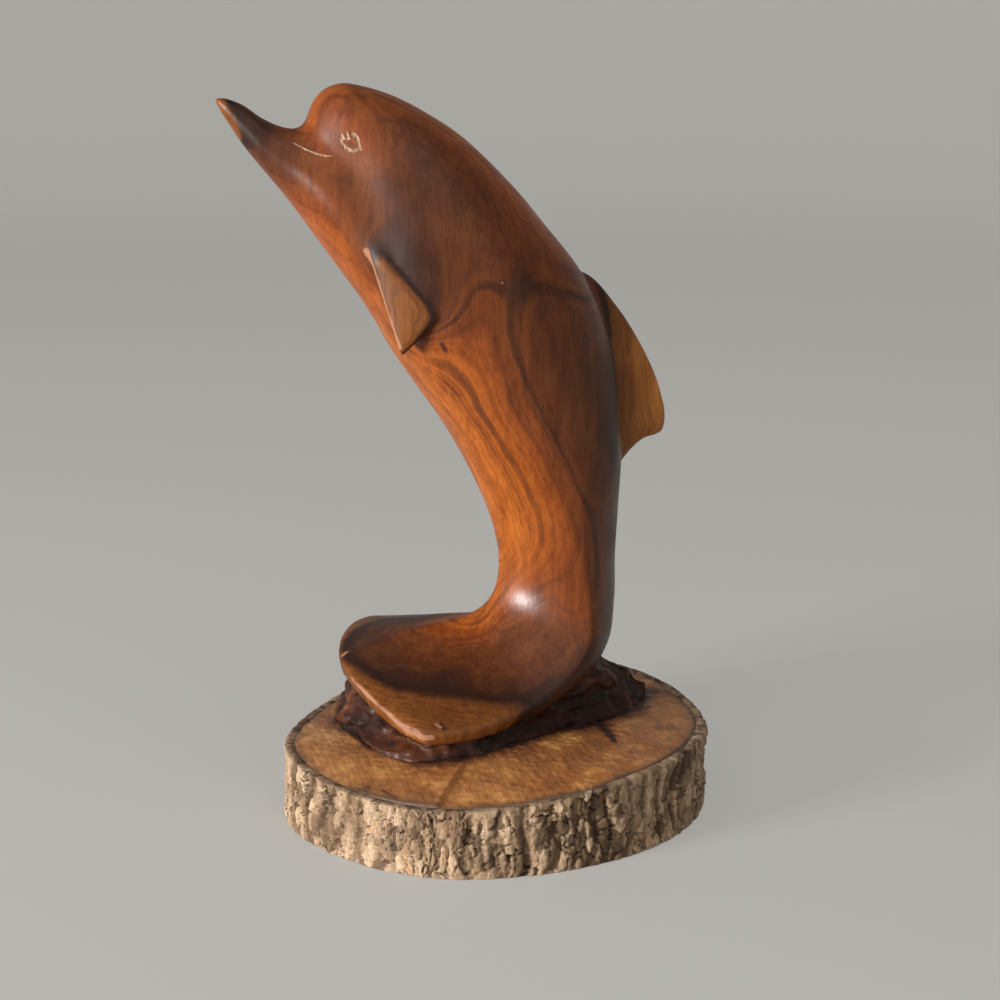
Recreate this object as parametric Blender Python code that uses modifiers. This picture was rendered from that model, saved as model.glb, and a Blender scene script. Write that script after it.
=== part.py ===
"""A dolphin carved with its log-slice base from one piece of wood.

Units are metres, +Z is up and the origin is the middle of the base's underside.
The dolphin's middle plane is parallel to XZ, its belly faces -X and its back +X.
Side-view sizes are written in millimetres as (x, z) pairs and scaled once, by MM.
"""

import math
from collections import namedtuple

import bmesh
import bpy
import numpy as np
from mathutils import Vector, noise
from mathutils.bvhtree import BVHTree

MM = 0.001

# Base: a slice of the log, bark left on
BASE_RADIUS = 92.0
BASE_THICKNESS = 37.0
BASE_FOOT_BEVEL = 2.0

# Every 30 degrees from +X: the outline over BASE_RADIUS, the rim over BASE_THICKNESS
BASE_OUTLINE = (1.060, 1.087, 1.076, 1.022, 0.957, 0.962,
                1.022, 0.989, 0.967, 0.918, 0.935, 1.0)
BASE_RIM = (0.946, 1.027, 1.081, 1.054, 0.946, 0.892,
            0.905, 0.824, 0.797, 0.851, 0.946, 0.973)

# Rings up the side as shares of the rim's height, and in over the top as shares of the outline
SIDE_SHARES = (0.06, 0.24, 0.42, 0.6, 0.78, 0.94)
TOP_SHARES = (0.94, 0.75, 0.5, 0.25)
RIM_SHARE = 0.985

# Bark: upright plates round the slice with furrows between them
BARK_PLATES = 56
PLATE_UNEVENNESS = 0.3
PLATE_LENGTH = 15.0
PLATE_RELIEF = 1.6
FURROW_DEPTH = 1.7
FURROW_SHARE = 0.17
PLATE_WANDER = 0.11
WANDER_DETAIL = 3.0
WANDER_RISE = 0.035
WORN_BARK = 0.6

# Where the mesh's columns stand across a plate, 0 being the furrow beside it
PLATE_COLUMNS = (0.0, 0.24, 0.76)

# Carving: where its middle plane lies, and how it is finished
MIDDLE_Y = 22.0
VOXEL = 1.2
SMOOTHING_PASSES = 5
CARVING_FACETS = 8000

# Melon, the round forehead
MELON_CENTRE = (-58.0, 300.4)
MELON_RADIUS = 17.2
MELON_HALF_WIDTH = 22.5
MELON_TURN = math.radians(68)
HEAD_AXIS = (0.93, -0.367)

Station = namedtuple("Station", "belly side back half_width belly_round back_round edge roll")

# How far the flukes are rolled about the middle plane, as rise over reach
TAIL_ROLL = 0.165

# Body from the forehead to the tail notch: belly, widest side and back of each section
BODY = (
    Station((-64, 271), (-50, 292), (-40, 313.0), 26.5, 2.0, 2.0, 0, 0),
    Station((-60.5, 256), (-40, 280), (-23.5, 304.8), 31.5, 2.2, 2.0, 0, 0),
    Station((-56.5, 240), (-29, 267), (-7, 293.7), 35.5, 2.4, 2.0, 0, 0),
    Station((-49.5, 224), (-17, 250), (12.5, 275), 39.0, 2.5, 2.0, 0, 0),
    Station((-41.0, 206.5), (-7, 232), (27.5, 257.5), 41.5, 2.2, 2.0, 0, 0),
    Station((-30, 189.5), (9, 213), (44.5, 236), 41.5, 2.0, 2.0, 0, 0),
    Station((-18.5, 173), (20.5, 192), (56, 211.5), 39.5, 2.0, 2.0, 0, 0),
    Station((-8.8, 156.5), (29, 169), (62.5, 183), 36.0, 2.0, 2.0, 0, 0),
    Station((-0.5, 139.5), (35, 147), (64.6, 156), 32.0, 1.95, 1.8, 0, 0),
    Station((5.5, 123.5), (38, 127), (64.2, 131), 28.8, 1.8, 1.55, 0, 0),
    Station((8.4, 108), (40.5, 107), (63.2, 106), 27.6, 1.6, 1.4, 0, 0),
    Station((7.2, 95), (43, 88), (63.0, 84), 29.2, 1.5, 1.35, 0, 0.02),
    Station((4.6, 89.0), (42, 75), (60, 67), 32.8, 1.45, 1.4, 1.5, 0.05),
    Station((1.2, 85.0), (33.5, 66.5), (49, 55), 38.0, 1.35, 1.5, 3.0, 0.09),
    Station((-3.5, 82), (20, 60.5), (30.7, 47), 44.0, 1.2, 1.3, 4.0, 0.12),
    Station((-10.5, 80), (3, 58.5), (9, 45), 50.5, 1.1, 1.2, 5.0, 0.16),
    Station((-23, 78.6), (-15, 56.8), (-13, 46), 56.0, 1.05, 1.1, 5.5, TAIL_ROLL),
    Station((-38, 76.2), (-31, 56.6), (-31, 50), 58.0, 1.1, 1.0, 5.5, TAIL_ROLL),
    Station((-53, 71), (-39.5, 57.2), (-49, 56), 57.5, 1.25, 1.15, 5.5, TAIL_ROLL),
    Station((-65.5, 65.5), (-44, 57.8), (-64, 58.5), 53.0, 1.45, 1.45, 5.5, TAIL_ROLL),
)

JawStation = namedtuple("JawStation", "under top half_width")

# Beak and lower jaw, from the tip to inside the chest
JAW = (
    JawStation((-109.6, 304.6), (-108.2, 311.8), 4.2),
    JawStation((-102.2, 293.2), (-101.0, 308.8), 7.4),
    JawStation((-94.3, 283.0), (-92.6, 303.0), 10.6),
    JawStation((-87.0, 274.2), (-82.5, 299.4), 14.2),
    JawStation((-80.3, 265.4), (-72.0, 297.6), 19.0),
    JawStation((-73.0, 255.2), (-59.0, 290.0), 24.6),
    JawStation((-64.2, 242.8), (-47.0, 276.0), 26.5),
    JawStation((-53.6, 227.8), (-37.0, 256.0), 24.0),
    JawStation((-44.4, 213.2), (-28.0, 234.0), 17.0),
)
BEAK_TIP = (-114.0, 312.4)
JAW_END = (-24.0, 212.0)

FinStation = namedtuple("FinStation", "leading trailing half_thickness")

# Dorsal fin, from inside the back to its tip
DORSAL_FIN = (
    FinStation((33, 237), (54, 137), 9.5),
    FinStation((48, 234.5), (63.5, 147), 8.0),
    FinStation((62.4, 219.5), (69, 153.2), 6.0),
    FinStation((73.4, 203), (75.5, 158.4), 4.6),
    FinStation((81.4, 187), (81.6, 160.0), 3.6),
    FinStation((85.4, 174), (84.8, 161.4), 2.8),
)
DORSAL_TIP = (86.6, 167.2)

# Flipper: outer face corners as (x, distance from the middle plane, z)
FLIPPER_FRONT = (-58.8, 26.5, 259.0)
FLIPPER_REAR = (-28.8, 39.5, 221.5)
FLIPPER_TIP = (-42.6, 31.0, 205.5)
FAR_FLIPPER_SHIFT = 8.0
FLIPPER_ROOT_REACH = 0.45
FLIPPER_ROOT_DIVE = 14.0
FLIPPER_THICKNESS = 9.0
FLIPPER_EDGE_THICKNESS = 5.0

MoundStation = namedtuple("MoundStation", "x foot crest crest_z")

# Uncut wood under the tail, as sections along X
MOUND = (
    MoundStation(-65, 12, 4, 35),
    MoundStation(-60, 31, 8, 42),
    MoundStation(-56, 40, 14, 53),
    MoundStation(-51, 46, 26, 56),
    MoundStation(-46, 50.5, 34, 56),
    MoundStation(-41, 53.5, 42, 56),
    MoundStation(-34, 56.5, 48, 55),
    MoundStation(-24, 57, 50, 55),
    MoundStation(-15, 55.5, 49, 56),
    MoundStation(8, 47.5, 42, 56),
    MoundStation(27, 39.5, 33, 60),
    MoundStation(45, 34, 24, 64),
    MoundStation(60, 24, 15, 50),
    MoundStation(72, 15, 7, 41),
    MoundStation(78, 6, 3, 36),
)
MOUND_MIDDLE_Z = 63.0
MOUND_FLOOR_Z = 18.0
MOUND_ROUGHNESS = 2.0

# Eye: a groove round a small ball, and the mouth's slit
EYE_PLACE = (-58.8, 293.2)
EYE_RADII = (4.0, 3.3)
EYE_GROOVE = 0.85
MOUTH = ((-86.0, 294.5), (-81.0, 293.2), (-75.5, 291.2), (-70.0, 288.6))
MOUTH_DEPTH = 1.3
MOUTH_WIDTH = 1.1
SLIT_CLEARANCE = 0.6
SLIT_END = 0.35
OUTSIDE = 120.0

WOOD_COLOUR = (0.33, 0.13, 0.045, 1.0)
WOOD_ROUGHNESS = 0.32

RINGS_PER_SPAN = 8
QUARTER_POINTS = 14


def clear_scene():
    """Removes what the file holds, so that the script can be run again."""
    for existing in list(bpy.data.objects):
        bpy.data.objects.remove(existing)


def smooth_rail(values, spans):
    """Rows of numbers, made denser by a cubic that passes through each of them."""
    rows = np.array(values, float)
    steps = np.linalg.norm(np.diff(rows[:, :2], axis=0), axis=1)
    knots = np.concatenate(([0.0], np.cumsum(np.sqrt(steps))))
    slopes = np.gradient(rows, knots, axis=0)
    dense = [rows[0]]
    for i in range(len(rows) - 1):
        width = knots[i + 1] - knots[i]
        for k in range(1, spans + 1):
            t = k / spans
            dense.append(
                (2 * t**3 - 3 * t**2 + 1) * rows[i]
                + (t**3 - 2 * t**2 + t) * width * slopes[i]
                + (3 * t**2 - 2 * t**3) * rows[i + 1]
                + (t**3 - t**2) * width * slopes[i + 1]
            )
    return np.array(dense)


def rungs(loop):
    """Faces across a thin section, from its belly side to its back side."""
    half = len(loop) // 2
    faces = []
    for j in range(half // 2):
        faces.append((loop[j], loop[j + 1], loop[half - j - 1], loop[half - j]))
        faces.append((loop[-j], loop[half + j], loop[half + j + 1], loop[-j - 1]))
    return faces


def loft(rings, first_tip=None, last_tip=None, thin_end=False):
    """A closed bmesh through rings of equal length. An end is a tip, rungs or a flat cap."""
    mesh = bmesh.new()
    loops = [[mesh.verts.new(Vector(p) * MM) for p in ring] for ring in rings]
    count = len(loops[0])
    for lower, upper in zip(loops, loops[1:]):
        for i in range(count):
            j = (i + 1) % count
            mesh.faces.new((lower[i], lower[j], upper[j], upper[i]))
    for loop, tip, order in ((loops[0], first_tip, -1), (loops[-1], last_tip, 1)):
        if thin_end and order == 1:
            for corners in rungs(loop):
                mesh.faces.new(corners)
            continue
        if tip is None:
            mesh.faces.new(loop[::order])
            continue
        point = mesh.verts.new(Vector(tip) * MM)
        for i in range(count):
            pair = (loop[i], loop[(i + 1) % count])[::order]
            mesh.faces.new((*pair, point))
    bmesh.ops.remove_doubles(mesh, verts=mesh.verts, dist=0.02 * MM)
    bmesh.ops.recalc_face_normals(mesh, faces=mesh.faces)
    return mesh


def to_object(mesh, name):
    data = bpy.data.meshes.new(name)
    mesh.to_mesh(data)
    mesh.free()
    made = bpy.data.objects.new(name, data)
    bpy.context.scene.collection.objects.link(made)
    return made


def quarter(start, end, depth_power, half_width):
    """Points from the middle plane at start out to the side at end, as (x, offset, z)."""
    start, end = np.array(start), np.array(end)
    points = []
    for k in range(QUARTER_POINTS):
        turn = math.pi / 2 * k / QUARTER_POINTS
        along = 1 - math.cos(turn) ** (2 / depth_power)
        out = math.sin(turn) ** (2 / depth_power)
        x, z = start + (end - start) * along
        points.append((x, half_width * out, z))
    return points


def body_ring(row):
    """One closed section of the body, from its belly round by the near side and back."""
    belly, side, back = row[0:2], row[2:4], row[4:6]
    half_width, belly_round, back_round, edge, roll = row[6:11]
    lower_side = side - np.array((0.0, edge))
    half = quarter(belly, side, belly_round, half_width)
    half.append((side[0], half_width, side[1]))
    back_half = quarter(back, lower_side, back_round, half_width)
    half.append((lower_side[0], half_width - edge * 0.1, lower_side[1]))
    half += back_half[:0:-1]
    far = [(x, out, z) for x, out, z in half]
    near = [(x, -out, z) for x, out, z in half[:0:-1]]
    ring = far + [(back[0], 0.0, back[1])] + near
    return [(x, MIDDLE_Y + out, z + roll * out) for x, out, z in ring]


def melon_rows():
    """Body rows over the front half of the forehead ball, after its pole."""
    axis = np.array(HEAD_AXIS)
    across = np.array((-axis[1], axis[0]))
    rows = []
    for k in range(1, 7):
        turn = MELON_TURN * k / 6
        centre = np.array(MELON_CENTRE) - axis * MELON_RADIUS * math.cos(turn)
        reach = across * MELON_RADIUS * math.sin(turn)
        wide = MELON_HALF_WIDTH * math.sin(turn)
        rows.append((*(centre - reach), *centre, *(centre + reach), wide, 2, 2, 0, 0))
    return rows


def body():
    """Forehead, trunk, tail stock and flukes as one skin over three rails."""
    stations = [(*s.belly, *s.side, *s.back, *s[3:]) for s in BODY]
    cap = melon_rows()
    dense = smooth_rail([*cap[-2:], *stations], RINGS_PER_SPAN)
    pole = np.array(MELON_CENTRE) - np.array(HEAD_AXIS) * MELON_RADIUS
    rings = [body_ring(np.array(row)) for row in (*cap[:-2], *dense)]
    return to_object(loft(rings, (pole[0], MIDDLE_Y, pole[1]), thin_end=True), "body")


def jaw():
    """Beak, lower jaw and throat."""
    rows = smooth_rail([(*s.under, *s.top, s.half_width) for s in JAW], RINGS_PER_SPAN)
    rings = []
    for row in rows:
        middle = (row[0:2] + row[2:4]) / 2
        section = np.array((*row[0:2], *middle, *row[2:4], row[4], 2, 2, 0, 0))
        rings.append(body_ring(section))
    tip = (BEAK_TIP[0], MIDDLE_Y, BEAK_TIP[1])
    end = (JAW_END[0], MIDDLE_Y, JAW_END[1])
    return to_object(loft(rings, tip, end), "jaw")


def lens_ring(leading, trailing, outward, half_thickness, fullness=0.55):
    """A blunt lens between two edge points, thick along outward."""
    leading, trailing = np.array(leading), np.array(trailing)
    outward = np.array(outward)
    ring = []
    count = 2 * QUARTER_POINTS
    for k in range(2 * count):
        turn = math.pi * k / count
        along = (1 - math.cos(turn)) / 2
        thick = math.copysign(abs(math.sin(turn)) ** fullness, math.sin(turn))
        point = leading + (trailing - leading) * along
        ring.append(tuple(point + outward * half_thickness * thick))
    return ring


def dorsal_fin():
    rows = [(*s.leading, *s.trailing, s.half_thickness) for s in DORSAL_FIN]
    rings = []
    for row in smooth_rail(rows, RINGS_PER_SPAN):
        leading = (row[0], MIDDLE_Y, row[1])
        trailing = (row[2], MIDDLE_Y, row[3])
        rings.append(lens_ring(leading, trailing, (0, 1, 0), row[4]))
    tip = (DORSAL_TIP[0], MIDDLE_Y, DORSAL_TIP[1])
    return to_object(loft(rings, None, tip), "dorsal_fin")


def flipper(side):
    """One flipper, carved in relief along the chest. side is -1 near or 1 far."""
    shift = FAR_FLIPPER_SHIFT if side > 0 else 0.0
    front, rear, tip = (
        np.array((x + shift, MIDDLE_Y + side * out, z))
        for x, out, z in (FLIPPER_FRONT, FLIPPER_REAR, FLIPPER_TIP)
    )
    normal = np.cross(rear - front, tip - front)
    normal *= side * np.sign(normal[1]) / np.linalg.norm(normal)
    rings = []
    for k in range(RINGS_PER_SPAN * 2):
        reach = -FLIPPER_ROOT_REACH + (1 + FLIPPER_ROOT_REACH) * k / (RINGS_PER_SPAN * 2)
        thick = FLIPPER_THICKNESS
        if reach > 0:
            thick += (FLIPPER_EDGE_THICKNESS - FLIPPER_THICKNESS) * reach
        dive = FLIPPER_ROOT_DIVE * max(0.0, -reach) / FLIPPER_ROOT_REACH
        inward = -normal * (thick / 2 + dive)
        leading = front + (tip - front) * reach + inward
        trailing = rear + (tip - rear) * reach + inward
        rings.append(lens_ring(leading, trailing, normal, thick / 2, 0.3))
    point = tip - normal * FLIPPER_EDGE_THICKNESS / 2
    return to_object(loft(rings, None, tuple(point)), "flipper")


def mound():
    """The block of wood left between the tail and the slice."""
    rings = []
    for x, foot, crest, crest_z in smooth_rail([tuple(s) for s in MOUND], RINGS_PER_SPAN):
        middle_z = min(MOUND_MIDDLE_Z, crest_z + 6)
        waist = (foot * 0.4 + crest * 0.6, (BASE_THICKNESS + crest_z) / 2)
        corners = ((foot, MOUND_FLOOR_Z), (foot, BASE_THICKNESS - 3), waist,
                   (crest, crest_z), (0, middle_z))
        half = []
        for start, end in zip(corners, corners[1:]):
            for k in range(6):
                t = k / 6
                half.append([a + (b - a) * t for a, b in zip(start, end)])
        rolls = [TAIL_ROLL * out * rolled(z) for out, z in half]
        far = [(x, MIDDLE_Y + out, z + roll) for (out, z), roll in zip(half, rolls)]
        near = [(x, MIDDLE_Y - out, z - roll) for (out, z), roll in zip(half, rolls)][::-1]
        rings.append([carved(p) for p in (*far, (x, MIDDLE_Y, middle_z), *near)])
    return to_object(loft(rings), "mound")


def rolled(z):
    """How much of the tail's roll the mound has at a height, from 0 at its foot to 1."""
    return min(1.0, max(0.0, (z - BASE_THICKNESS + 3) / 18))


def carved(point):
    """Pushes a point of the mound about, as gouge cuts leave it."""
    p = Vector(point)
    push = noise.noise_vector(p * 0.09) + noise.noise_vector(p * 0.22) * 0.6
    push.z *= 0.3
    return tuple(p + push * MOUND_ROUGHNESS)


def round_the_rim(values, angle):
    """A smooth value at an angle, from values at equal steps round the slice."""
    count = len(values)
    place = angle / (2 * math.pi) * count
    i = math.floor(place)
    t = place - i
    p0, p1, p2, p3 = (values[(i + k) % count] for k in (-1, 0, 1, 2))
    return 0.5 * (
        2 * p1
        + (p2 - p0) * t
        + (2 * p0 - 5 * p1 + 4 * p2 - p3) * t**2
        + (3 * p1 - p0 - 3 * p2 + p3) * t**3
    )


def chance(plate, row):
    """A fixed number from -1 to 1 for each plate of the bark."""
    return math.sin(plate % BARK_PLATES * 12.9898 + row * 78.233 + 4.1) * 43758.5453 % 2 - 1


def plate_edge(plate):
    """The turn at which a plate of the bark starts."""
    return 2 * math.pi * (plate + PLATE_UNEVENNESS * chance(plate, 7)) / BARK_PLATES


def bark(plate, across, z, worn=1.0):
    """The angle and relief of the bark, at a share of the way across a plate and a height."""
    turn = plate_edge(plate) + (plate_edge(plate + 1) - plate_edge(plate)) * across
    outward = Vector((math.cos(turn), math.sin(turn), 0))
    wander = noise.noise(outward * WANDER_DETAIL + Vector((0, 0, z * WANDER_RISE)))
    furrow = math.exp(-(min(across, 1 - across) / FURROW_SHARE) ** 2)
    furrow *= 0.65 + 0.35 * chance(round(plate + across), 3)
    row = math.floor(z / PLATE_LENGTH + chance(plate, 0))
    relief = PLATE_RELIEF * (0.1 + 0.5 * chance(plate, row)) - FURROW_DEPTH * furrow
    return turn + PLATE_WANDER * wander, relief * worn


def base():
    """The slice: bark round the side, a flat foot and a sawn upper face."""
    columns = [(plate, across) for plate in range(BARK_PLATES) for across in PLATE_COLUMNS]

    def ring(height, inset=0.0, share=1.0, worn=0.0):
        """One ring: height is a share of the rim's height, or None on the upper face."""
        points = []
        for plate, across in columns:
            angle, relief = bark(plate, across, BASE_THICKNESS * (height or 1.0), worn)
            rim = BASE_THICKNESS * round_the_rim(BASE_RIM, angle)
            z = BASE_THICKNESS + (rim - BASE_THICKNESS) * share**2
            if height is not None:
                z = rim * height
            radius = (BASE_RADIUS * round_the_rim(BASE_OUTLINE, angle) - inset) * share + relief
            points.append((radius * math.cos(angle), radius * math.sin(angle), z))
        return points

    rings = [ring(0.0, inset=BASE_FOOT_BEVEL, worn=WORN_BARK)]
    rings += [ring(height, worn=1.0) for height in SIDE_SHARES]
    rings.append(ring(1.0, share=RIM_SHARE, worn=WORN_BARK))
    rings += [ring(None, share=share) for share in TOP_SHARES]
    return to_object(loft(rings, None, (0, 0, BASE_THICKNESS)), "base")


def wood():
    made = bpy.data.materials.new("oiled_wood")
    made.use_nodes = True
    shader = made.node_tree.nodes["Principled BSDF"]
    shader.inputs["Base Color"].default_value = WOOD_COLOUR
    shader.inputs["Roughness"].default_value = WOOD_ROUGHNESS
    return made


def join(parts, name):
    """Puts several closed shells in one mesh and removes their objects."""
    mesh = bmesh.new()
    for part in parts:
        mesh.from_mesh(part.data)
        bpy.data.objects.remove(part)
    return to_object(mesh, name)


def applied(source, name):
    """A plain mesh object of what source's modifiers make."""
    graph = bpy.context.evaluated_depsgraph_get()
    data = bpy.data.meshes.new_from_object(source.evaluated_get(graph))
    bpy.data.objects.remove(source)
    data.name = name
    made = bpy.data.objects.new(name, data)
    bpy.context.scene.collection.objects.link(made)
    return made


def carve():
    """Blends the lofted forms into one skin, as a carver would."""
    blocked = join((body(), jaw(), dorsal_fin(), flipper(-1), flipper(1), mound()), "blocked")
    skin = blocked.modifiers.new("skin", "REMESH")
    skin.mode = "VOXEL"
    skin.voxel_size = VOXEL * MM
    sanded = blocked.modifiers.new("sanded", "SMOOTH")
    sanded.factor = 0.5
    sanded.iterations = SMOOTHING_PASSES
    dense = applied(blocked, "dense")
    fewer = dense.modifiers.new("fewer", "DECIMATE")
    fewer.ratio = min(1.0, CARVING_FACETS / (2 * len(dense.data.polygons)))
    return applied(dense, "dolphin_carving")


def skin_at(tree, place, side):
    """The skin's point beside (x, z) on one side, and its outward normal."""
    start = Vector((place[0], MIDDLE_Y + side * OUTSIDE, place[1])) * MM
    spot, normal, _, _ = tree.ray_cast(start, Vector((0, -side, 0)))
    return spot, normal


def swept(path, section):
    """A closed bmesh of a section, given along (across, out), swept along a path."""
    rings = []
    for i, (spot, normal) in enumerate(path):
        ahead = path[min(i + 1, len(path) - 1)][0] - path[max(i - 1, 0)][0]
        across = normal.cross(ahead).normalized()
        size = SLIT_END if i in (0, len(path) - 1) else 1.0
        ring = [spot / MM + (across * a + normal * b) * size for a, b in section]
        rings.append([tuple(p) for p in ring])
    return loft(rings)


def face_cutters(carving):
    """Cutters for the eyes' grooves and the mouth's slits."""
    mesh = bmesh.new()
    mesh.from_mesh(carving.data)
    tree = BVHTree.FromBMesh(mesh)
    mesh.free()
    cutters = []
    half = MOUTH_WIDTH / 2
    slit = ((-half, SLIT_CLEARANCE), (0, -MOUTH_DEPTH), (half, SLIT_CLEARANCE))
    for side in (-1, 1):
        path = [skin_at(tree, place, side) for place in MOUTH]
        cutters.append(to_object(swept(path, slit), "slit"))
        spot, normal = skin_at(tree, EYE_PLACE, side)
        lean = normal.to_track_quat("Z", "Y")
        rings = []
        for k in range(20):
            turn = 2 * math.pi * k / 20
            out = Vector((math.cos(turn) * EYE_RADII[0], math.sin(turn) * EYE_RADII[1], 0))
            ring = []
            for j in range(6):
                roll = 2 * math.pi * j / 6
                tube = out.normalized() * math.cos(roll) + Vector((0, 0, math.sin(roll)))
                ring.append(tuple(spot / MM + lean @ (out + tube * EYE_GROOVE)))
            rings.append(ring)
        cutters.append(to_object(hoop(rings), "eye_groove"))
    return join(cutters, "face_cutters")


def hoop(rings):
    """A closed ring-shaped bmesh through rings that follow one another round."""
    mesh = bmesh.new()
    loops = [[mesh.verts.new(Vector(p) * MM) for p in ring] for ring in rings]
    count = len(loops[0])
    for k, lower in enumerate(loops):
        upper = loops[(k + 1) % len(loops)]
        for i in range(count):
            j = (i + 1) % count
            mesh.faces.new((lower[i], lower[j], upper[j], upper[i]))
    bmesh.ops.recalc_face_normals(mesh, faces=mesh.faces)
    return mesh


def file_under(item, name):
    """Moves an object to the scene's collection of that name."""
    for collection in list(item.users_collection):
        collection.objects.unlink(item)
    home = bpy.data.collections.get(name) or bpy.data.collections.new(name)
    if home.name not in bpy.context.scene.collection.children:
        bpy.context.scene.collection.children.link(home)
    home.objects.link(item)


def combine(target, tool, operation, name):
    """Adds an exact Boolean modifier and takes its tool out of the picture."""
    step = target.modifiers.new(name, "BOOLEAN")
    step.operation = operation
    step.solver = "EXACT"
    step.object = tool
    file_under(tool, "tools")
    tool.hide_render = True
    tool.display_type = "WIRE"


def main():
    clear_scene()
    carving = carve()
    file_under(carving, "dolphin_figurine")
    combine(carving, face_cutters(carving), "DIFFERENCE", "eyes_and_mouth")
    combine(carving, base(), "UNION", "one_piece")
    carving.data.materials.clear()
    carving.data.materials.append(wood())


main()
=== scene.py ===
"""Looks of a dolphin carved with its log-slice base from one piece of two-tone wood.

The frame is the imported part's: metres, +Z up, belly towards -X, near side towards -Y.
Sizes of the carving are written in millimetres, as a carver's pattern, and scaled by MM.
"""
import math
from collections import namedtuple

import bmesh
import bpy
import numpy as np
from mathutils import Matrix, Vector, noise
from mathutils.bvhtree import BVHTree


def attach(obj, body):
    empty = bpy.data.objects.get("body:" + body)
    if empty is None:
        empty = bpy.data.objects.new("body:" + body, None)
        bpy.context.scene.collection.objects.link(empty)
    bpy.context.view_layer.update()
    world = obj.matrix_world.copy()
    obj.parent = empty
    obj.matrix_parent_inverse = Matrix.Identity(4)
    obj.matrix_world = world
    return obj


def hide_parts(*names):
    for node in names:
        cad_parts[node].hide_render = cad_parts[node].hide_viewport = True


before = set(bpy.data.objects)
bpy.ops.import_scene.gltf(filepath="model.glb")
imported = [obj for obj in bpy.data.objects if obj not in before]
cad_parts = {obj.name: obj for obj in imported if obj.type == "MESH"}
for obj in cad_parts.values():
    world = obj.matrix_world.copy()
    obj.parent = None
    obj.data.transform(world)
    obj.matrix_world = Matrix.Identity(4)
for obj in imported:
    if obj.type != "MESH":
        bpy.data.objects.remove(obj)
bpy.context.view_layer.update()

NODE = "dolphin_carving"
MM = 0.001

# Middle plane of the dolphin
MIDDLE_Y = 22.0

# Melon, the round forehead
MELON_CENTRE = (-58.0, 300.4)
MELON_RADIUS = 17.2
MELON_HALF_WIDTH = 22.5
MELON_TURN = math.radians(68)
MELON_RINGS = 6
HEAD_AXIS = (0.93, -0.367)

Station = namedtuple("Station", "belly side back half_width belly_round back_round edge roll")

# How far the flukes are rolled about the middle plane, as rise over reach
TAIL_ROLL = 0.165
# How far the lower corner of a section's edge is tucked in, over the edge's thickness
EDGE_TUCK = 0.1

# Body from the forehead to the tail notch: belly, widest side and back of each section
BODY = (
    Station((-64, 271), (-50, 292), (-40, 313.0), 26.5, 2.0, 2.0, 0, 0),
    Station((-60.5, 256), (-40, 280), (-23.5, 304.8), 31.5, 2.2, 2.0, 0, 0),
    Station((-56.5, 240), (-29, 267), (-7, 293.7), 35.5, 2.4, 2.0, 0, 0),
    Station((-49.5, 224), (-17, 250), (12.5, 275), 39.0, 2.5, 2.0, 0, 0),
    Station((-41.0, 206.5), (-7, 232), (27.5, 257.5), 41.5, 2.2, 2.0, 0, 0),
    Station((-30, 189.5), (9, 213), (44.5, 236), 41.5, 2.0, 2.0, 0, 0),
    Station((-18.5, 173), (20.5, 192), (56, 211.5), 39.5, 2.0, 2.0, 0, 0),
    Station((-8.8, 156.5), (29, 169), (62.5, 183), 36.0, 2.0, 2.0, 0, 0),
    Station((-0.5, 139.5), (35, 147), (64.6, 156), 32.0, 1.95, 1.8, 0, 0),
    Station((5.5, 123.5), (38, 127), (64.2, 131), 28.8, 1.8, 1.55, 0, 0),
    Station((8.4, 108), (40.5, 107), (63.2, 106), 27.6, 1.6, 1.4, 0, 0),
    Station((7.2, 95), (43, 88), (63.0, 84), 29.2, 1.5, 1.35, 0, 0.02),
    Station((4.6, 89.0), (42, 75), (60, 67), 32.8, 1.45, 1.4, 1.5, 0.05),
    Station((1.2, 85.0), (33.5, 66.5), (49, 55), 38.0, 1.35, 1.5, 3.0, 0.09),
    Station((-3.5, 82), (20, 60.5), (30.7, 47), 44.0, 1.2, 1.3, 4.0, 0.12),
    Station((-10.5, 80), (3, 58.5), (9, 45), 50.5, 1.1, 1.2, 5.0, 0.16),
    Station((-23, 78.6), (-15, 56.8), (-13, 46), 56.0, 1.05, 1.1, 5.5, TAIL_ROLL),
    Station((-38, 76.2), (-31, 56.6), (-31, 50), 58.0, 1.1, 1.0, 5.5, TAIL_ROLL),
    Station((-53, 71), (-39.5, 57.2), (-49, 56), 57.5, 1.25, 1.15, 5.5, TAIL_ROLL),
    Station((-65.5, 65.5), (-44, 57.8), (-64, 58.5), 53.0, 1.45, 1.45, 5.5, TAIL_ROLL),
)

JawStation = namedtuple("JawStation", "under top half_width")

# Beak and lower jaw, from the tip to inside the chest
JAW = (
    JawStation((-109.6, 304.6), (-108.2, 311.8), 4.2),
    JawStation((-102.2, 293.2), (-101.0, 308.8), 7.4),
    JawStation((-94.3, 283.0), (-92.6, 303.0), 10.6),
    JawStation((-87.0, 274.2), (-82.5, 299.4), 14.2),
    JawStation((-80.3, 265.4), (-72.0, 297.6), 19.0),
    JawStation((-73.0, 255.2), (-59.0, 290.0), 24.6),
    JawStation((-64.2, 242.8), (-47.0, 276.0), 26.5),
    JawStation((-53.6, 227.8), (-37.0, 256.0), 24.0),
    JawStation((-44.4, 213.2), (-28.0, 234.0), 17.0),
)
BEAK_TIP = (-114.0, 312.4)
JAW_END = (-24.0, 212.0)

FinStation = namedtuple("FinStation", "leading trailing half_thickness")

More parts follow.
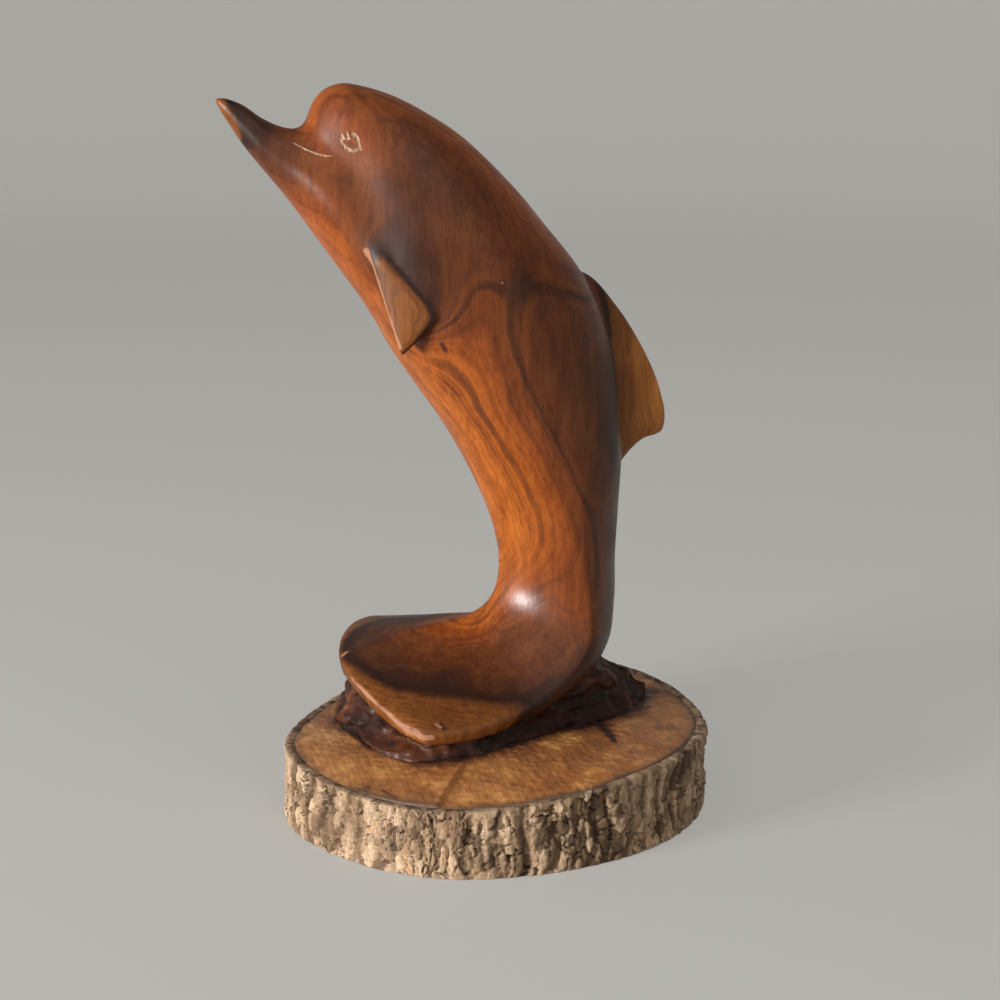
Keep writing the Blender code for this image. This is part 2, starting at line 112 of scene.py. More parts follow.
# Dorsal fin, from inside the back to its tip
DORSAL_FIN = (
    FinStation((33, 237), (54, 137), 9.5),
    FinStation((48, 234.5), (63.5, 147), 8.0),
    FinStation((62.4, 219.5), (69, 153.2), 6.0),
    FinStation((73.4, 203), (75.5, 158.4), 4.6),
    FinStation((81.4, 187), (81.6, 160.0), 3.6),
    FinStation((85.4, 174), (84.8, 161.4), 2.8),
)
DORSAL_TIP = (86.6, 167.2)
DORSAL_FULLNESS = 0.55

# Flipper: outer face corners as (x, distance from the middle plane, z)
FLIPPER_FRONT = (-58.8, 26.5, 259.0)
FLIPPER_REAR = (-28.8, 39.5, 221.5)
FLIPPER_TIP = (-42.6, 31.0, 205.5)
FAR_FLIPPER_SHIFT = 8.0
FLIPPER_ROOT_REACH = 0.45
FLIPPER_ROOT_DIVE = 14.0
FLIPPER_THICKNESS = 9.0
FLIPPER_EDGE_THICKNESS = 5.0
FLIPPER_FULLNESS = 0.3

MoundStation = namedtuple("MoundStation", "x foot crest crest_z")

# Uncut wood under the tail, as sections along X
MOUND = (
    MoundStation(-65, 12, 4, 35),
    MoundStation(-60, 31, 8, 42),
    MoundStation(-56, 40, 14, 53),
    MoundStation(-51, 46, 26, 56),
    MoundStation(-46, 50.5, 34, 56),
    MoundStation(-41, 53.5, 42, 56),
    MoundStation(-34, 56.5, 48, 55),
    MoundStation(-24, 57, 50, 55),
    MoundStation(-15, 55.5, 49, 56),
    MoundStation(8, 47.5, 42, 56),
    MoundStation(27, 39.5, 33, 60),
    MoundStation(45, 34, 24, 64),
    MoundStation(60, 24, 15, 50),
    MoundStation(72, 15, 7, 41),
    MoundStation(78, 6, 3, 36),
)
MOUND_MIDDLE_Z = 63.0
MOUND_FLOOR_Z = 18.0
MOUND_CROWN = 6.0
MOUND_WAIST = 0.4
MOUND_FOOT_DEPTH = 3.0
MOUND_ROLL_RISE = 18.0

# Slice of the log: every 30 degrees from +X, the outline over the radius and the rim
# over the thickness
SLICE_RADIUS = 92.0
SLICE_THICKNESS = 37.0
SLICE_OUTLINE = (1.060, 1.087, 1.076, 1.022, 0.957, 0.962,
                 1.022, 0.989, 0.967, 0.918, 0.935, 1.0)
SLICE_RIM = (0.946, 1.027, 1.081, 1.054, 0.946, 0.892,
             0.905, 0.824, 0.797, 0.851, 0.946, 0.973)

# Bark: upright plates round the slice with furrows between them
BARK_THICKNESS = 5.0
BARK_PLATES = 56
PLATE_UNEVENNESS = 0.3
PLATE_LENGTH = 15.0
PLATE_RELIEF = 1.6
FURROW_DEPTH = 1.7
FURROW_SHARE = 0.17
PLATE_WANDER = 0.11
WANDER_DETAIL = 3.0
WANDER_RISE = 0.035

Line = namedtuple("Line", "points half_breadth")

# Eye and mouth, chiselled after varnishing, as (x, z) lines on the side of the head
CHISEL_CUTS = (
    Line(((-64.0, 297.3), (-63.5, 296.0)), 0.8),
    Line(((-61.9, 298.2), (-61.4, 296.2)), 0.6),
    Line(((-59.7, 297.6), (-58.5, 296.8), (-57.7, 295.2)), 1.0),
    Line(((-57.7, 295.2), (-57.3, 293.2), (-56.9, 291.4)), 0.75),
    Line(((-63.1, 295.9), (-62.2, 295.5), (-61.0, 295.7)), 0.45),
    Line(((-64.1, 295.4), (-63.8, 294.0), (-63.0, 292.6)), 0.65),
    Line(((-62.7, 292.2), (-61.3, 291.2), (-59.7, 290.9), (-58.6, 291.3)), 0.95),
    Line(((-82.4, 293.7), (-80.0, 292.2)), 0.30),
    Line(((-80.0, 292.2), (-77.9, 291.1), (-75.6, 290.1), (-73.0, 289.1), (-70.4, 288.6)), 0.50),
    Line(((-70.4, 288.6), (-68.1, 288.6)), 0.30),
)
# The cutting ball stands this share of its radius above the skin
CHISEL_LIFT = 0.45
CHISEL_STEP = 0.25
CHISEL_VOXEL = 0.22

# Pale edges, painted highlight where they face the window and partly varnish rubbed through, and
# dark spots, two of them painted shade
LIT_AND_WORN_EDGES = (
    # Near fluke's trailing edge: painted highlight, partly rubbed wood
    Line(((-62.0, 8.0, 61), (-58.8, -4.9, 57.8), (-51.2, -21.5, 52.5), (-46.1, -29.6, 47.8),
          (-40.2, -34.8, 46.0), (-36.5, -35.9, 46.2)), 1.5),
    # Chip at the far fluke's notch: painted highlight
    Line(((-63.5, 23.5, 66.0), (-61.0, 25.5, 67.2)), 1.6),
    # Near fluke's notch: painted highlight
    Line(((-34.0, -31.0, 50.0), (-32.2, -32.6, 49.2)), 1.2),
    # Flipper's leading edge: painted highlight
    Line(((-55.6, -3.7, 250), (-52.0, -5.6, 238), (-48.4, -6.4, 226), (-45.2, -7.8, 215),
          (-43.2, -8.9, 210)), 1.9),
)
DARK_SPOTS_AND_SHADE = (
    # Crease behind the flipper's trailing edge: painted shade
    Line(((-25.2, -11.0, 211.0), (-23.4, -11.2, 207.4)), 1.3),
    # Dark spot at the near fluke's trailing edge
    Line(((-30.8, -31.5, 50.0), (-30.0, -33.5, 48.5)), 1.7),
    # Rear edge of the dorsal fin, turned from the light: painted shade
    Line(((83.5, 22.0, 185), (87.6, 22.0, 172), (87.8, 22.0, 163)), 3.0),
    # Dark spot in the middle of the eye
    Line(((-61.1, -0.6, 293.9), (-59.7, -1.0, 293.0)), 1.2),
)

# Where the varnish is glossiest and where it is dull
POLISHED = (
    Line(((-78, 10, 283), (-69, 5, 272)), 14.0),
    Line(((27, 14, 106), (28, 12, 94)), 14.0),
)
DULLED = (
    Line(((-66, 4, 306), (-60, 0, 296)), 16.0),
    Line(((-56, -3, 278), (-50, -6, 262)), 13.0),
    Line(((-55, 30, 69), (-20, 45, 74)), 20.0),
)

SKIN_MARKS = {"wear_and_highlight": LIT_AND_WORN_EDGES, "dark_spot_and_shade": DARK_SPOTS_AND_SHADE, "polish": POLISHED, "dull": DULLED}

# The seam between throat and chest, which the carver rounded over, and how far that reaches
SOFT_SEAM = ((-72.7, 9.8, 294), (-68, 6.3, 290), (-62.8, 1.3, 282), (-58, -1.3, 275),
             (-53.5, -4.0, 268))
SEAM_REACH = 24.0
SEAM_STRENGTH = 1.6
SEAM_PASSES = 380

# Finish of the carving's skin
VOXEL = 0.9
SMOOTHING_PASSES = 12
SMOOTHING_SHARE = 0.5
SKIN_TRIANGLES = 178000
RINGS_PER_SPAN = 12
QUARTER_POINTS = 22
SHARP_EDGE = math.radians(48)
# Points nearer than this are merged
MERGE_REACH = 0.02
# Well outside the carving, for rays cast at its skin
OUTSIDE = 200.0


# Shapes


def smooth_rail(values, spans):
    """Rows of numbers, made denser by a cubic that passes through each of them."""
    rows = np.array(values, float)
    steps = np.linalg.norm(np.diff(rows[:, :2], axis=0), axis=1)
    knots = np.concatenate(([0.0], np.cumsum(np.sqrt(steps))))
    slopes = np.gradient(rows, knots, axis=0)
    dense = [rows[0]]
    for i in range(len(rows) - 1):
        width = knots[i + 1] - knots[i]
        for k in range(1, spans + 1):
            t = k / spans
            dense.append(
                (2 * t**3 - 3 * t**2 + 1) * rows[i]
                + (t**3 - 2 * t**2 + t) * width * slopes[i]
                + (3 * t**2 - 2 * t**3) * rows[i + 1]
                + (t**3 - t**2) * width * slopes[i + 1]
            )
    return np.array(dense)


def linked(name, data):
    made = bpy.data.objects.new(name, data)
    bpy.context.scene.collection.objects.link(made)
    return made


def to_object(mesh, name):
    data = bpy.data.meshes.new(name)
    mesh.to_mesh(data)
    mesh.free()
    return linked(name, data)


def rungs(loop):
    """Faces across a thin section, from its belly side to its back side."""
    half = len(loop) // 2
    faces = []
    for j in range(half // 2):
        faces.append((loop[j], loop[j + 1], loop[half - j - 1], loop[half - j]))
        faces.append((loop[-j], loop[half + j], loop[half + j + 1], loop[-j - 1]))
    return faces


def loft(rings, first_tip=None, last_tip=None, thin_end=False, round_trip=False):
    """A closed bmesh through rings of equal length, in millimetres.

    An end is a tip, rungs or a flat cap, and with round_trip the last ring meets the first.
    """
    mesh = bmesh.new()
    loops = [[mesh.verts.new(Vector(p) * MM) for p in ring] for ring in rings]
    count = len(loops[0])
    followers = loops[1:] + ([loops[0]] if round_trip else [])
    for lower, upper in zip(loops, followers):
        for i in range(count):
            j = (i + 1) % count
            mesh.faces.new((lower[i], lower[j], upper[j], upper[i]))
    if not round_trip:
        for loop, tip, order in ((loops[0], first_tip, -1), (loops[-1], last_tip, 1)):
            if thin_end and order == 1:
                for corners in rungs(loop):
                    mesh.faces.new(corners)
                continue
            if tip is None:
                mesh.faces.new(loop[::order])
                continue
            point = mesh.verts.new(Vector(tip) * MM)
            for i in range(count):
                pair = (loop[i], loop[(i + 1) % count])[::order]
                mesh.faces.new((*pair, point))
    bmesh.ops.remove_doubles(mesh, verts=mesh.verts, dist=MERGE_REACH * MM)
    bmesh.ops.recalc_face_normals(mesh, faces=mesh.faces)
    return mesh


def quarter(start, end, depth_power, half_width):
    """Points from the middle plane at start out to the side at end, as (x, offset, z)."""
    start, end = np.array(start), np.array(end)
    points = []
    for k in range(QUARTER_POINTS):
        turn = math.pi / 2 * k / QUARTER_POINTS
        along = 1 - math.cos(turn) ** (2 / depth_power)
        out = math.sin(turn) ** (2 / depth_power)
        x, z = start + (end - start) * along
        points.append((x, half_width * out, z))
    return points


def body_ring(row):
    """One closed section of the body, from its belly round by the near side and back."""
    belly, side, back = row[0:2], row[2:4], row[4:6]
    half_width, belly_round, back_round, edge, roll = row[6:11]
    lower_side = side - np.array((0.0, edge))
    half = quarter(belly, side, belly_round, half_width)
    half.append((side[0], half_width, side[1]))
    back_half = quarter(back, lower_side, back_round, half_width)
    half.append((lower_side[0], half_width - edge * EDGE_TUCK, lower_side[1]))
    half += back_half[:0:-1]
    far = [(x, out, z) for x, out, z in half]
    near = [(x, -out, z) for x, out, z in half[:0:-1]]
    ring = far + [(back[0], 0.0, back[1])] + near
    return [(x, MIDDLE_Y + out, z + roll * out) for x, out, z in ring]


def melon_rows():
    """Body rows over the front half of the forehead ball, after its pole."""
    axis = np.array(HEAD_AXIS)
    across = np.array((-axis[1], axis[0]))
    rows = []
    for k in range(1, MELON_RINGS + 1):
        turn = MELON_TURN * k / MELON_RINGS
        centre = np.array(MELON_CENTRE) - axis * MELON_RADIUS * math.cos(turn)
        reach = across * MELON_RADIUS * math.sin(turn)
        wide = MELON_HALF_WIDTH * math.sin(turn)
        rows.append((*(centre - reach), *centre, *(centre + reach), wide, 2, 2, 0, 0))
    return rows


def body():
    """Forehead, trunk, tail stock and flukes as one skin over three rails."""
    stations = [(*s.belly, *s.side, *s.back, *s[3:]) for s in BODY]
    cap = melon_rows()
    dense = smooth_rail([*cap[-2:], *stations], RINGS_PER_SPAN)
    pole = np.array(MELON_CENTRE) - np.array(HEAD_AXIS) * MELON_RADIUS
    rings = [body_ring(np.array(row)) for row in (*cap[:-2], *dense)]
    return to_object(loft(rings, (pole[0], MIDDLE_Y, pole[1]), thin_end=True), "body")


def jaw():
    """Beak, lower jaw and throat."""
    rows = smooth_rail([(*s.under, *s.top, s.half_width) for s in JAW], RINGS_PER_SPAN)
    rings = []
    for row in rows:
        middle = (row[0:2] + row[2:4]) / 2
        section = np.array((*row[0:2], *middle, *row[2:4], row[4], 2, 2, 0, 0))
        rings.append(body_ring(section))
    tip = (BEAK_TIP[0], MIDDLE_Y, BEAK_TIP[1])
    end = (JAW_END[0], MIDDLE_Y, JAW_END[1])
    return to_object(loft(rings, tip, end), "jaw")


def lens_ring(leading, trailing, outward, half_thickness, fullness):
    """A blunt lens between two edge points, thick along outward."""
    leading, trailing = np.array(leading), np.array(trailing)
    outward = np.array(outward)
    ring = []
    count = 2 * QUARTER_POINTS
    for k in range(2 * count):
        turn = math.pi * k / count
        along = (1 - math.cos(turn)) / 2
        thick = math.copysign(abs(math.sin(turn)) ** fullness, math.sin(turn))
        point = leading + (trailing - leading) * along
        ring.append(tuple(point + outward * half_thickness * thick))
    return ring


def dorsal_fin():
    rows = [(*s.leading, *s.trailing, s.half_thickness) for s in DORSAL_FIN]
    rings = []
    for row in smooth_rail(rows, RINGS_PER_SPAN):
        leading = (row[0], MIDDLE_Y, row[1])
        trailing = (row[2], MIDDLE_Y, row[3])
        rings.append(lens_ring(leading, trailing, (0, 1, 0), row[4], DORSAL_FULLNESS))
    tip = (DORSAL_TIP[0], MIDDLE_Y, DORSAL_TIP[1])
    return to_object(loft(rings, None, tip), "dorsal_fin")


def flipper(side):
    """One flipper, carved in relief along the chest. side is -1 near or 1 far."""
    shift = FAR_FLIPPER_SHIFT if side > 0 else 0.0
    front, rear, tip = (
        np.array((x + shift, MIDDLE_Y + side * out, z))
        for x, out, z in (FLIPPER_FRONT, FLIPPER_REAR, FLIPPER_TIP)
    )
    normal = np.cross(rear - front, tip - front)
    normal *= side * np.sign(normal[1]) / np.linalg.norm(normal)
    rings = []
    steps = RINGS_PER_SPAN * 2
    for k in range(steps):
        reach = -FLIPPER_ROOT_REACH + (1 + FLIPPER_ROOT_REACH) * k / steps
        thick = FLIPPER_THICKNESS
        if reach > 0:
            thick += (FLIPPER_EDGE_THICKNESS - FLIPPER_THICKNESS) * reach
        dive = FLIPPER_ROOT_DIVE * max(0.0, -reach) / FLIPPER_ROOT_REACH
        inward = -normal * (thick / 2 + dive)
        leading = front + (tip - front) * reach + inward
        trailing = rear + (tip - rear) * reach + inward
        rings.append(lens_ring(leading, trailing, normal, thick / 2, FLIPPER_FULLNESS))
    point = tip - normal * FLIPPER_EDGE_THICKNESS / 2
    return to_object(loft(rings, None, tuple(point)), "flipper")


def join(parts, name):
    """Puts several closed shells in one mesh and removes their objects."""
    mesh = bmesh.new()
    for part in parts:
        mesh.from_mesh(part.data)
        bpy.data.objects.remove(part)
    return to_object(mesh, name)


def applied(source, name):
    """A plain mesh object of what source's modifiers make, in place of source."""
    graph = bpy.context.evaluated_depsgraph_get()
    data = bpy.data.meshes.new_from_object(source.evaluated_get(graph))
    bpy.data.objects.remove(source)
    data.name = name
    return linked(name, data)


# Growth of the log


# The heartwood's section at SECTION_Z: an oval about the pith, its broad way turned from X
LOG_TURN = math.radians(15)
SECTION_Z = 57.0
PITH = (-8.0, 20.0)
PITH_LEAN = -0.06
HEART_HALF_LENGTH = 54.0
HEART_LENGTH_GROWTH = 0.124
HEART_HALF_BREADTH = 43.5

# Places on the skin as (x, y, z, share), and how far out in the grown log each lies: 1 where
# dark heartwood meets pale sapwood, less inside it and more outside. Above the flukes they
# lie on the near side, and the far side follows.
ZONES = (
    # Beak, throat and head
    (-109.0, 18.0, 309.3, 1.0), (-106.2, 17.0, 305.2, 1.0), (-104.4, 16.6, 301.0, 1.0),
    (-102.4, 16.6, 296.4, 1.0), (-109.4, 22.0, 305.4, 1.05), (-105.0, 22.0, 298.0, 1.05),
    (-105.0, 17.4, 308.6, 0.95), (-101.0, 15.2, 302.0, 0.945), (-99.4, 15.0, 296.5, 0.945),
    (-99.0, 16.5, 290.5, 0.94), (-93.3, 15.2, 301, 0.965), (-93.2, 12.0, 291, 0.935),
    (-86.4, 9.3, 282.9, 0.925), (-80.7, 5.8, 285.1, 0.91), (-69.7, -0.9, 271.1, 0.80),
    (-72.2, 9.9, 257.8, 0.70), (-63.1, 3.1, 249.9, 0.68), (-50.7, 9.3, 227.7, 0.62),
    (-67.1, 9.2, 311.1, 0.82), (-62.5, 0.8, 303.3, 0.74), (-57.0, -2.0, 291.3, 0.79),
    (-60.2, 0.1, 279, 0.91), (-48.0, -5.0, 290.0, 0.83), (-24.0, -12.5, 271.0, 0.90),
    (-47.8, -7.1, 277.0, 0.92), (-30.0, -12.5, 263.0, 0.91), (-31.3, -0.2, 298.9, 0.88),
    (-6.9, -4.9, 278.3, 0.85), (18.5, -7.3, 248.7, 0.85),
    # Flipper, and the chest behind it
    (-50.5, -7.5, 244.5, 1.04), (-42.9, -10.7, 230.1, 1.08), (-35.1, -13.9, 224, 1.05),
    (-40.8, -10.4, 213.2, 1.10), (-53.4, -6.1, 250.6, 1.02), (-44.4, -9.2, 248.5, 0.945),
    (-34.9, -13.3, 236.5, 0.945), (-27.0, -15.6, 228, 0.935), (-49.9, -5.9, 258.8, 0.925),
    (-36.6, -12.8, 259.1, 0.935), (-26.9, -15.9, 246.8, 0.93),
    # Flank, along the dark line that arches over it
    (1.2, -19.5, 217.1, 0.86), (2.1, -19.6, 225.5, 0.86), (8.0, -18.5, 230.6, 0.86),
    (26.1, -12.0, 230.8, 0.86), (31.9, -10.3, 226.1, 0.87), (3.7, -18.5, 205.4, 0.86),
    (10.3, -16.9, 190.7, 0.86), (18.1, -14.8, 175.7, 0.86), (26.4, -12.6, 161.7, 0.86),
    (35.1, -9.7, 145.4, 0.86), (44.4, -4.2, 122.8, 0.86), (47.8, -1.3, 108, 0.86),
    (50.7, -0.2, 91.7, 0.87), (17.1, -12.3, 240.9, 0.83), (-10.8, -19.3, 230.1, 0.82),
    (-10.6, -18.3, 217.4, 0.79), (-1.1, -15.3, 195.3, 0.77), (40.9, -7.7, 213.8, 0.91),
    (15.3, -19.0, 212.2, 0.90), (32.5, -14.3, 176.2, 0.90), (43.1, -8.3, 152.6, 0.90),
    (-26.0, -10.9, 209, 0.72), (-13.0, -7.0, 190, 0.62),
    # Dorsal fin, paler towards its tip: sapwood, there partly painted light
    (53.0, 16.2, 223.1, 0.94), (57.6, 16.9, 218, 1.0), (59.5, 15.7, 207, 1.0),
    (61.1, 14.2, 189, 1.0), (65.0, 16.2, 195.9, 1.35), (77.7, 17.9, 176.9, 1.5),
    (50.2, -5.5, 182.4, 0.93),
    # Tail stock
    (3.0, 0.0, 152.8, 0.52), (14.0, 6.6, 118.9, 0.50), (31.3, -4.8, 120.6, 0.76),
    (36.1, -4.9, 92.8, 0.78), (54.5, 6.0, 118.1, 0.92), (63.0, 22.0, 130.0, 0.95),
    (44.4, -9.0, 74.8, 0.93), (42.3, -7.8, 83.9, 0.87), (26.0, -0.2, 92.2, 0.86),
    (14.6, 8.5, 90.6, 0.81),
    # Flukes
    (5.1, 7.7, 77.6, 0.915), (26.8, -5.5, 77.5, 0.93), (-9.6, 4.4, 70.5, 0.92),
    (-32.1, 5.9, 69.5, 0.90), (14.5, -8.3, 67.7, 0.87), (36.7, -11.3, 71.5, 0.92),
    (-42.5, 0.0, 65.4, 0.97), (-23.4, -14.3, 59.1, 0.98), (-2.4, -20.3, 56.1, 0.975),
    (-53.6, 11.5, 67.3, 0.96), (21.2, -17.1, 60.7, 0.955), (-22.1, -4.2, 63.5, 0.95),
    (-49.2, -12.2, 59, 1.0), (-34.6, -17.9, 57, 1.0), (-56.0, 0.0, 60.5, 0.985),
    (-19.7, -20.8, 55.5, 1.0), (-3.9, -22.8, 54.6, 1.0), (5.5, -23.2, 54.6, 1.0),
    (15.3, -21.8, 55.8, 1.0), (-32.0, -31.5, 49.8, 1.16), (4.6, -27.7, 50.1, 0.985),
    (14.7, -23.7, 53.3, 0.95), (25.0, -19.7, 56.6, 0.94), (35.7, -14.7, 62.4, 0.94),
    (-62.0, 20.0, 66.0, 0.97), (-45.0, 22.0, 73.5, 0.95), (-45.9, 37.8, 72.7, 0.955),
    (-57.7, 37.0, 69.1, 0.965), (-50.5, 49.9, 70.4, 0.965), (-24.1, 41.0, 74.8, 0.94),
    (-58.8, 27.0, 68.7, 0.965), (-35.0, 62.0, 66.0, 0.975), (0.0, 62.0, 64.0, 0.965),
    (22.0, 50.0, 66.0, 0.95),
)
# The flukes are seen on both sides: nothing below the first height is taken from the near side
BOTH_SIDES_SEEN = (90.0, 115.0)
# How loosely the field is drawn to the zones
ZONE_SLACK = 3.0


def oval_share(points):
    """How far out points lie in the plain oval log, 1 being the heartwood's edge."""
    x, y, z = points.T
    rise = z - SECTION_Z
    along = x * math.cos(LOG_TURN) - y * math.sin(LOG_TURN) - (PITH[0] + PITH_LEAN * rise)
    across = x * math.sin(LOG_TURN) + y * math.cos(LOG_TURN) - PITH[1]
    length = HEART_HALF_LENGTH + HEART_LENGTH_GROWTH * rise
    return np.hypot(along / length, across / HEART_HALF_BREADTH)


def heart_share(points):
    """The same in the log as it grew: a smooth field drawn to the zones seen on the skin."""
    rows = np.array(ZONES, float)
    places = rows[:, :3]
    pull_needed = rows[:, 3] - oval_share(places)
    count = len(places)
    system = np.ones((count + 1, count + 1))
    system[:count, :count] = np.linalg.norm(places[:, None] - places[None], axis=2)
    system[:count, :count] -= ZONE_SLACK * np.eye(count)
    system[count, count] = 0.0
    pulls = np.linalg.solve(system, np.append(pull_needed, 0.0))
    same_side = near_side(points)
    total = np.full(len(points), pulls[count])
    for place, pull in zip(places, pulls):
        total += pull * np.linalg.norm(same_side - place, axis=1)
    return (oval_share(points) + total).clip(min=0)


def points_of(piece):
    """A piece's points, in millimetres."""
    points = np.empty(len(piece.data.vertices) * 3)
    piece.data.vertices.foreach_get("co", points)
    return points.reshape(-1, 3) / MM


def grow(piece):
    """Stores how far out in the log each point of a piece lies."""
    store(piece, "heart", heart_share(points_of(piece)))


def near_side(points):
    """Points with the far side's moved over to the near side, above the flukes."""
    share = np.interp(points[:, 2], BOTH_SIDES_SEEN, (0.0, 1.0))
    moved = points.copy()
    moved[:, 1] -= 2 * share * (points[:, 1] - MIDDLE_Y).clip(min=0)
    return moved


def distance_to(points, line):
    """How far points lie from a broken line."""
    nearest = np.full(len(points), np.inf)
    for start, end in zip(line, line[1:]):
        start, way = np.array(start, float), np.subtract(end, start)
        share = ((points - start) @ way / (way @ way)).clip(0, 1)
        nearest = np.minimum(nearest, np.linalg.norm(points - start - share[:, None] * way, axis=1))
    return nearest


def strongest_mark(points, lines):
    """How strongly points are marked by the nearest of some lines, 1 being on a line."""
    marks = [np.exp(-(distance_to(points, line) / half) ** 2) for line, half in lines]
    return np.max(marks, axis=0)


def store(piece, name, values):
    layer = piece.data.attributes.new(name, "FLOAT", "POINT")
    layer.data.foreach_set("value", np.asarray(values, np.float32))


# Nodes


class Recipe:
    """Adds nodes to one tree, and links what it is given."""

    def __init__(self, tree):
        self.tree = tree

    def node(self, kind, *values, **settings):
        made = self.tree.nodes.new(kind)
        for name, value in settings.items():
            setattr(made, name, value)
        for socket, value in zip(made.inputs, values):
            self.put(socket, value)
        return made

    def put(self, socket, value):
        if isinstance(value, bpy.types.NodeSocket):
            self.tree.links.new(value, socket)
        elif socket.type == "RGBA":
            socket.default_value = (*value, 1.0)
        else:
            socket.default_value = value

    def math(self, operation, *values):
        return self.node("ShaderNodeMath", *values, operation=operation).outputs[0]

    def times(self, first, *others):
        for other in others:
            first = self.math("MULTIPLY", first, other)
        return first

    def plus(self, first, *others):
        for other in others:
            first = self.math("ADD", first, other)
        return first

    def swing(self, value, amount):
        """A value from 0 to 1 as a swing of this amount about zero."""
        return self.math("MULTIPLY_ADD", value, amount, -amount / 2)

    def step(self, value, low, high, floor=0.0, top=1.0):
        """Smooth rise from floor to top while value goes from low to high."""
        made = self.node("ShaderNodeMapRange", value, low, high, floor, top)
        made.interpolation_type = "SMOOTHSTEP"
        return made.outputs[0]

    def vector(self, operation, *values):
        return self.node("ShaderNodeVectorMath", *values, operation=operation).outputs[0]

    def place(self):
        return self.node("ShaderNodeTexCoord").outputs["Object"]

    def attribute(self, name):
        return self.node("ShaderNodeAttribute", attribute_name=name).outputs["Fac"]

    def noise(self, where, scale, detail=2.0, roughness=0.5, distortion=0.0, output=0):
        made = self.node("ShaderNodeTexNoise")
        for label, value in (("Vector", where), ("Scale", scale), ("Detail", detail),
                             ("Roughness", roughness), ("Distortion", distortion)):
            self.put(made.inputs[label], value)
        return made.outputs[output]

    def grain(self, place, lengthwise, scale, *details):
        """Noise drawn out along the log, where lengthwise is below 1."""
        return self.noise(self.vector("MULTIPLY", place, (1.0, 1.0, lengthwise)), scale, *details)

    def wander(self, place, scale, detail, reach):
        """A shift that changes from place to place."""
        return self.vector("MULTIPLY", self.noise(place, scale, detail, output=1), reach)

    def cells(self, where, scale, feature="F1"):
        made = self.node("ShaderNodeTexVoronoi", feature=feature)
        self.put(made.inputs["Scale"], scale)
        self.put(made.inputs["Vector"], where)
        return made

    def ramp(self, value, stops):
        made = self.node("ShaderNodeValToRGB", value)
        points = made.color_ramp.elements
        while len(points) < len(stops):
            points.new(0.5)
        for point, (place, colour) in zip(points, stops):
            point.position = place
            point.color = (*colour, 1.0)
        return made.outputs[0]

    def layered(self, colour, *layers, kind="MIX"):
        """A colour under layers, each given as its share and its colour."""
        for share, tint in layers:
            made = self.node("ShaderNodeMix", data_type="RGBA", blend_type=kind)
            for index, value in ((0, share), (6, colour), (7, tint)):
                self.put(made.inputs[index], value)
            colour = made.outputs[2]
        return colour


def shape_tree(name, sizes):
    """A Geometry Nodes tree with named number inputs, its recipe and its input node."""
    tree = bpy.data.node_groups.new(name, "GeometryNodeTree")
    tree.interface.new_socket("Mesh", in_out="INPUT", socket_type="NodeSocketGeometry")
    for label, value in sizes.items():
        socket = tree.interface.new_socket(label, in_out="INPUT", socket_type="NodeSocketFloat")
        socket.default_value = value
    tree.interface.new_socket("Mesh", in_out="OUTPUT", socket_type="NodeSocketGeometry")
    recipe = Recipe(tree)
    return recipe, recipe.node("NodeGroupInput")


def finish_tree(recipe, mesh, material):
    """Ends a tree in real meshes with their material."""
    real = recipe.node("GeometryNodeRealizeInstances", mesh)
    painted = recipe.node("GeometryNodeSetMaterial", real.outputs[0])
    painted.inputs["Material"].default_value = material
    recipe.node("NodeGroupOutput", painted.outputs[0])
    return recipe.tree


def shaped(piece, tree, sizes, name):
    """Runs a tree on a piece with these sizes and keeps the result as a plain mesh."""
    step = piece.modifiers.new(name, "NODES")
    step.node_group = tree
    for socket in tree.interface.items_tree:
        if socket.name in sizes and socket.in_out == "INPUT":
            step[socket.identifier] = float(sizes[socket.name])
    return applied(piece, name)


def stored(recipe, name):
    """A stored number, read in a Geometry Nodes tree."""
    made = recipe.node("GeometryNodeInputNamedAttribute", data_type="FLOAT")
    made.inputs["Name"].default_value = name
    return made.outputs[0]


def keep(recipe, mesh, name, value):
    """Stores a number on a tree's mesh."""
    made = recipe.node("GeometryNodeStoreNamedAttribute", data_type="FLOAT", domain="POINT")
    for label, given in (("Geometry", mesh), ("Name", name), ("Value", value)):
        recipe.put(made.inputs[label], given)
    return made.outputs[0]


def pushed(recipe, mesh, way, amount):
    """Moves a tree's mesh along a direction."""
    offset = recipe.node("ShaderNodeVectorMath", way, operation="SCALE")
    recipe.put(offset.inputs["Scale"], amount)
    moved = recipe.node("GeometryNodeSetPosition", mesh)
    recipe.put(moved.inputs["Offset"], offset.outputs[0])
    return moved.outputs[0]


# Materials


def new_material(name, fixed=()):
    """A material, its recipe, and its shader with some of its inputs fixed."""
    made = bpy.data.materials.new(name)
    made.use_nodes = True
    shader = made.node_tree.nodes["Principled BSDF"]
    for label, value in fixed:
        shader.inputs[label].default_value = value
    return made, Recipe(made.node_tree), shader


def finish_material(recipe, shader, colour, roughness, height, relief):
    """Gives a shader its colour, roughness, and relief as its strength and depth."""
    bump = recipe.node("ShaderNodeBump")
    for socket, value in ((shader.inputs["Base Color"], colour),
                          (shader.inputs["Roughness"], roughness),
                          (bump.inputs["Strength"], relief[0]),
                          (bump.inputs["Distance"], relief[1]),
                          (bump.inputs["Height"], height),
                          (shader.inputs["Normal"], bump.outputs[0])):
        recipe.put(socket, value)


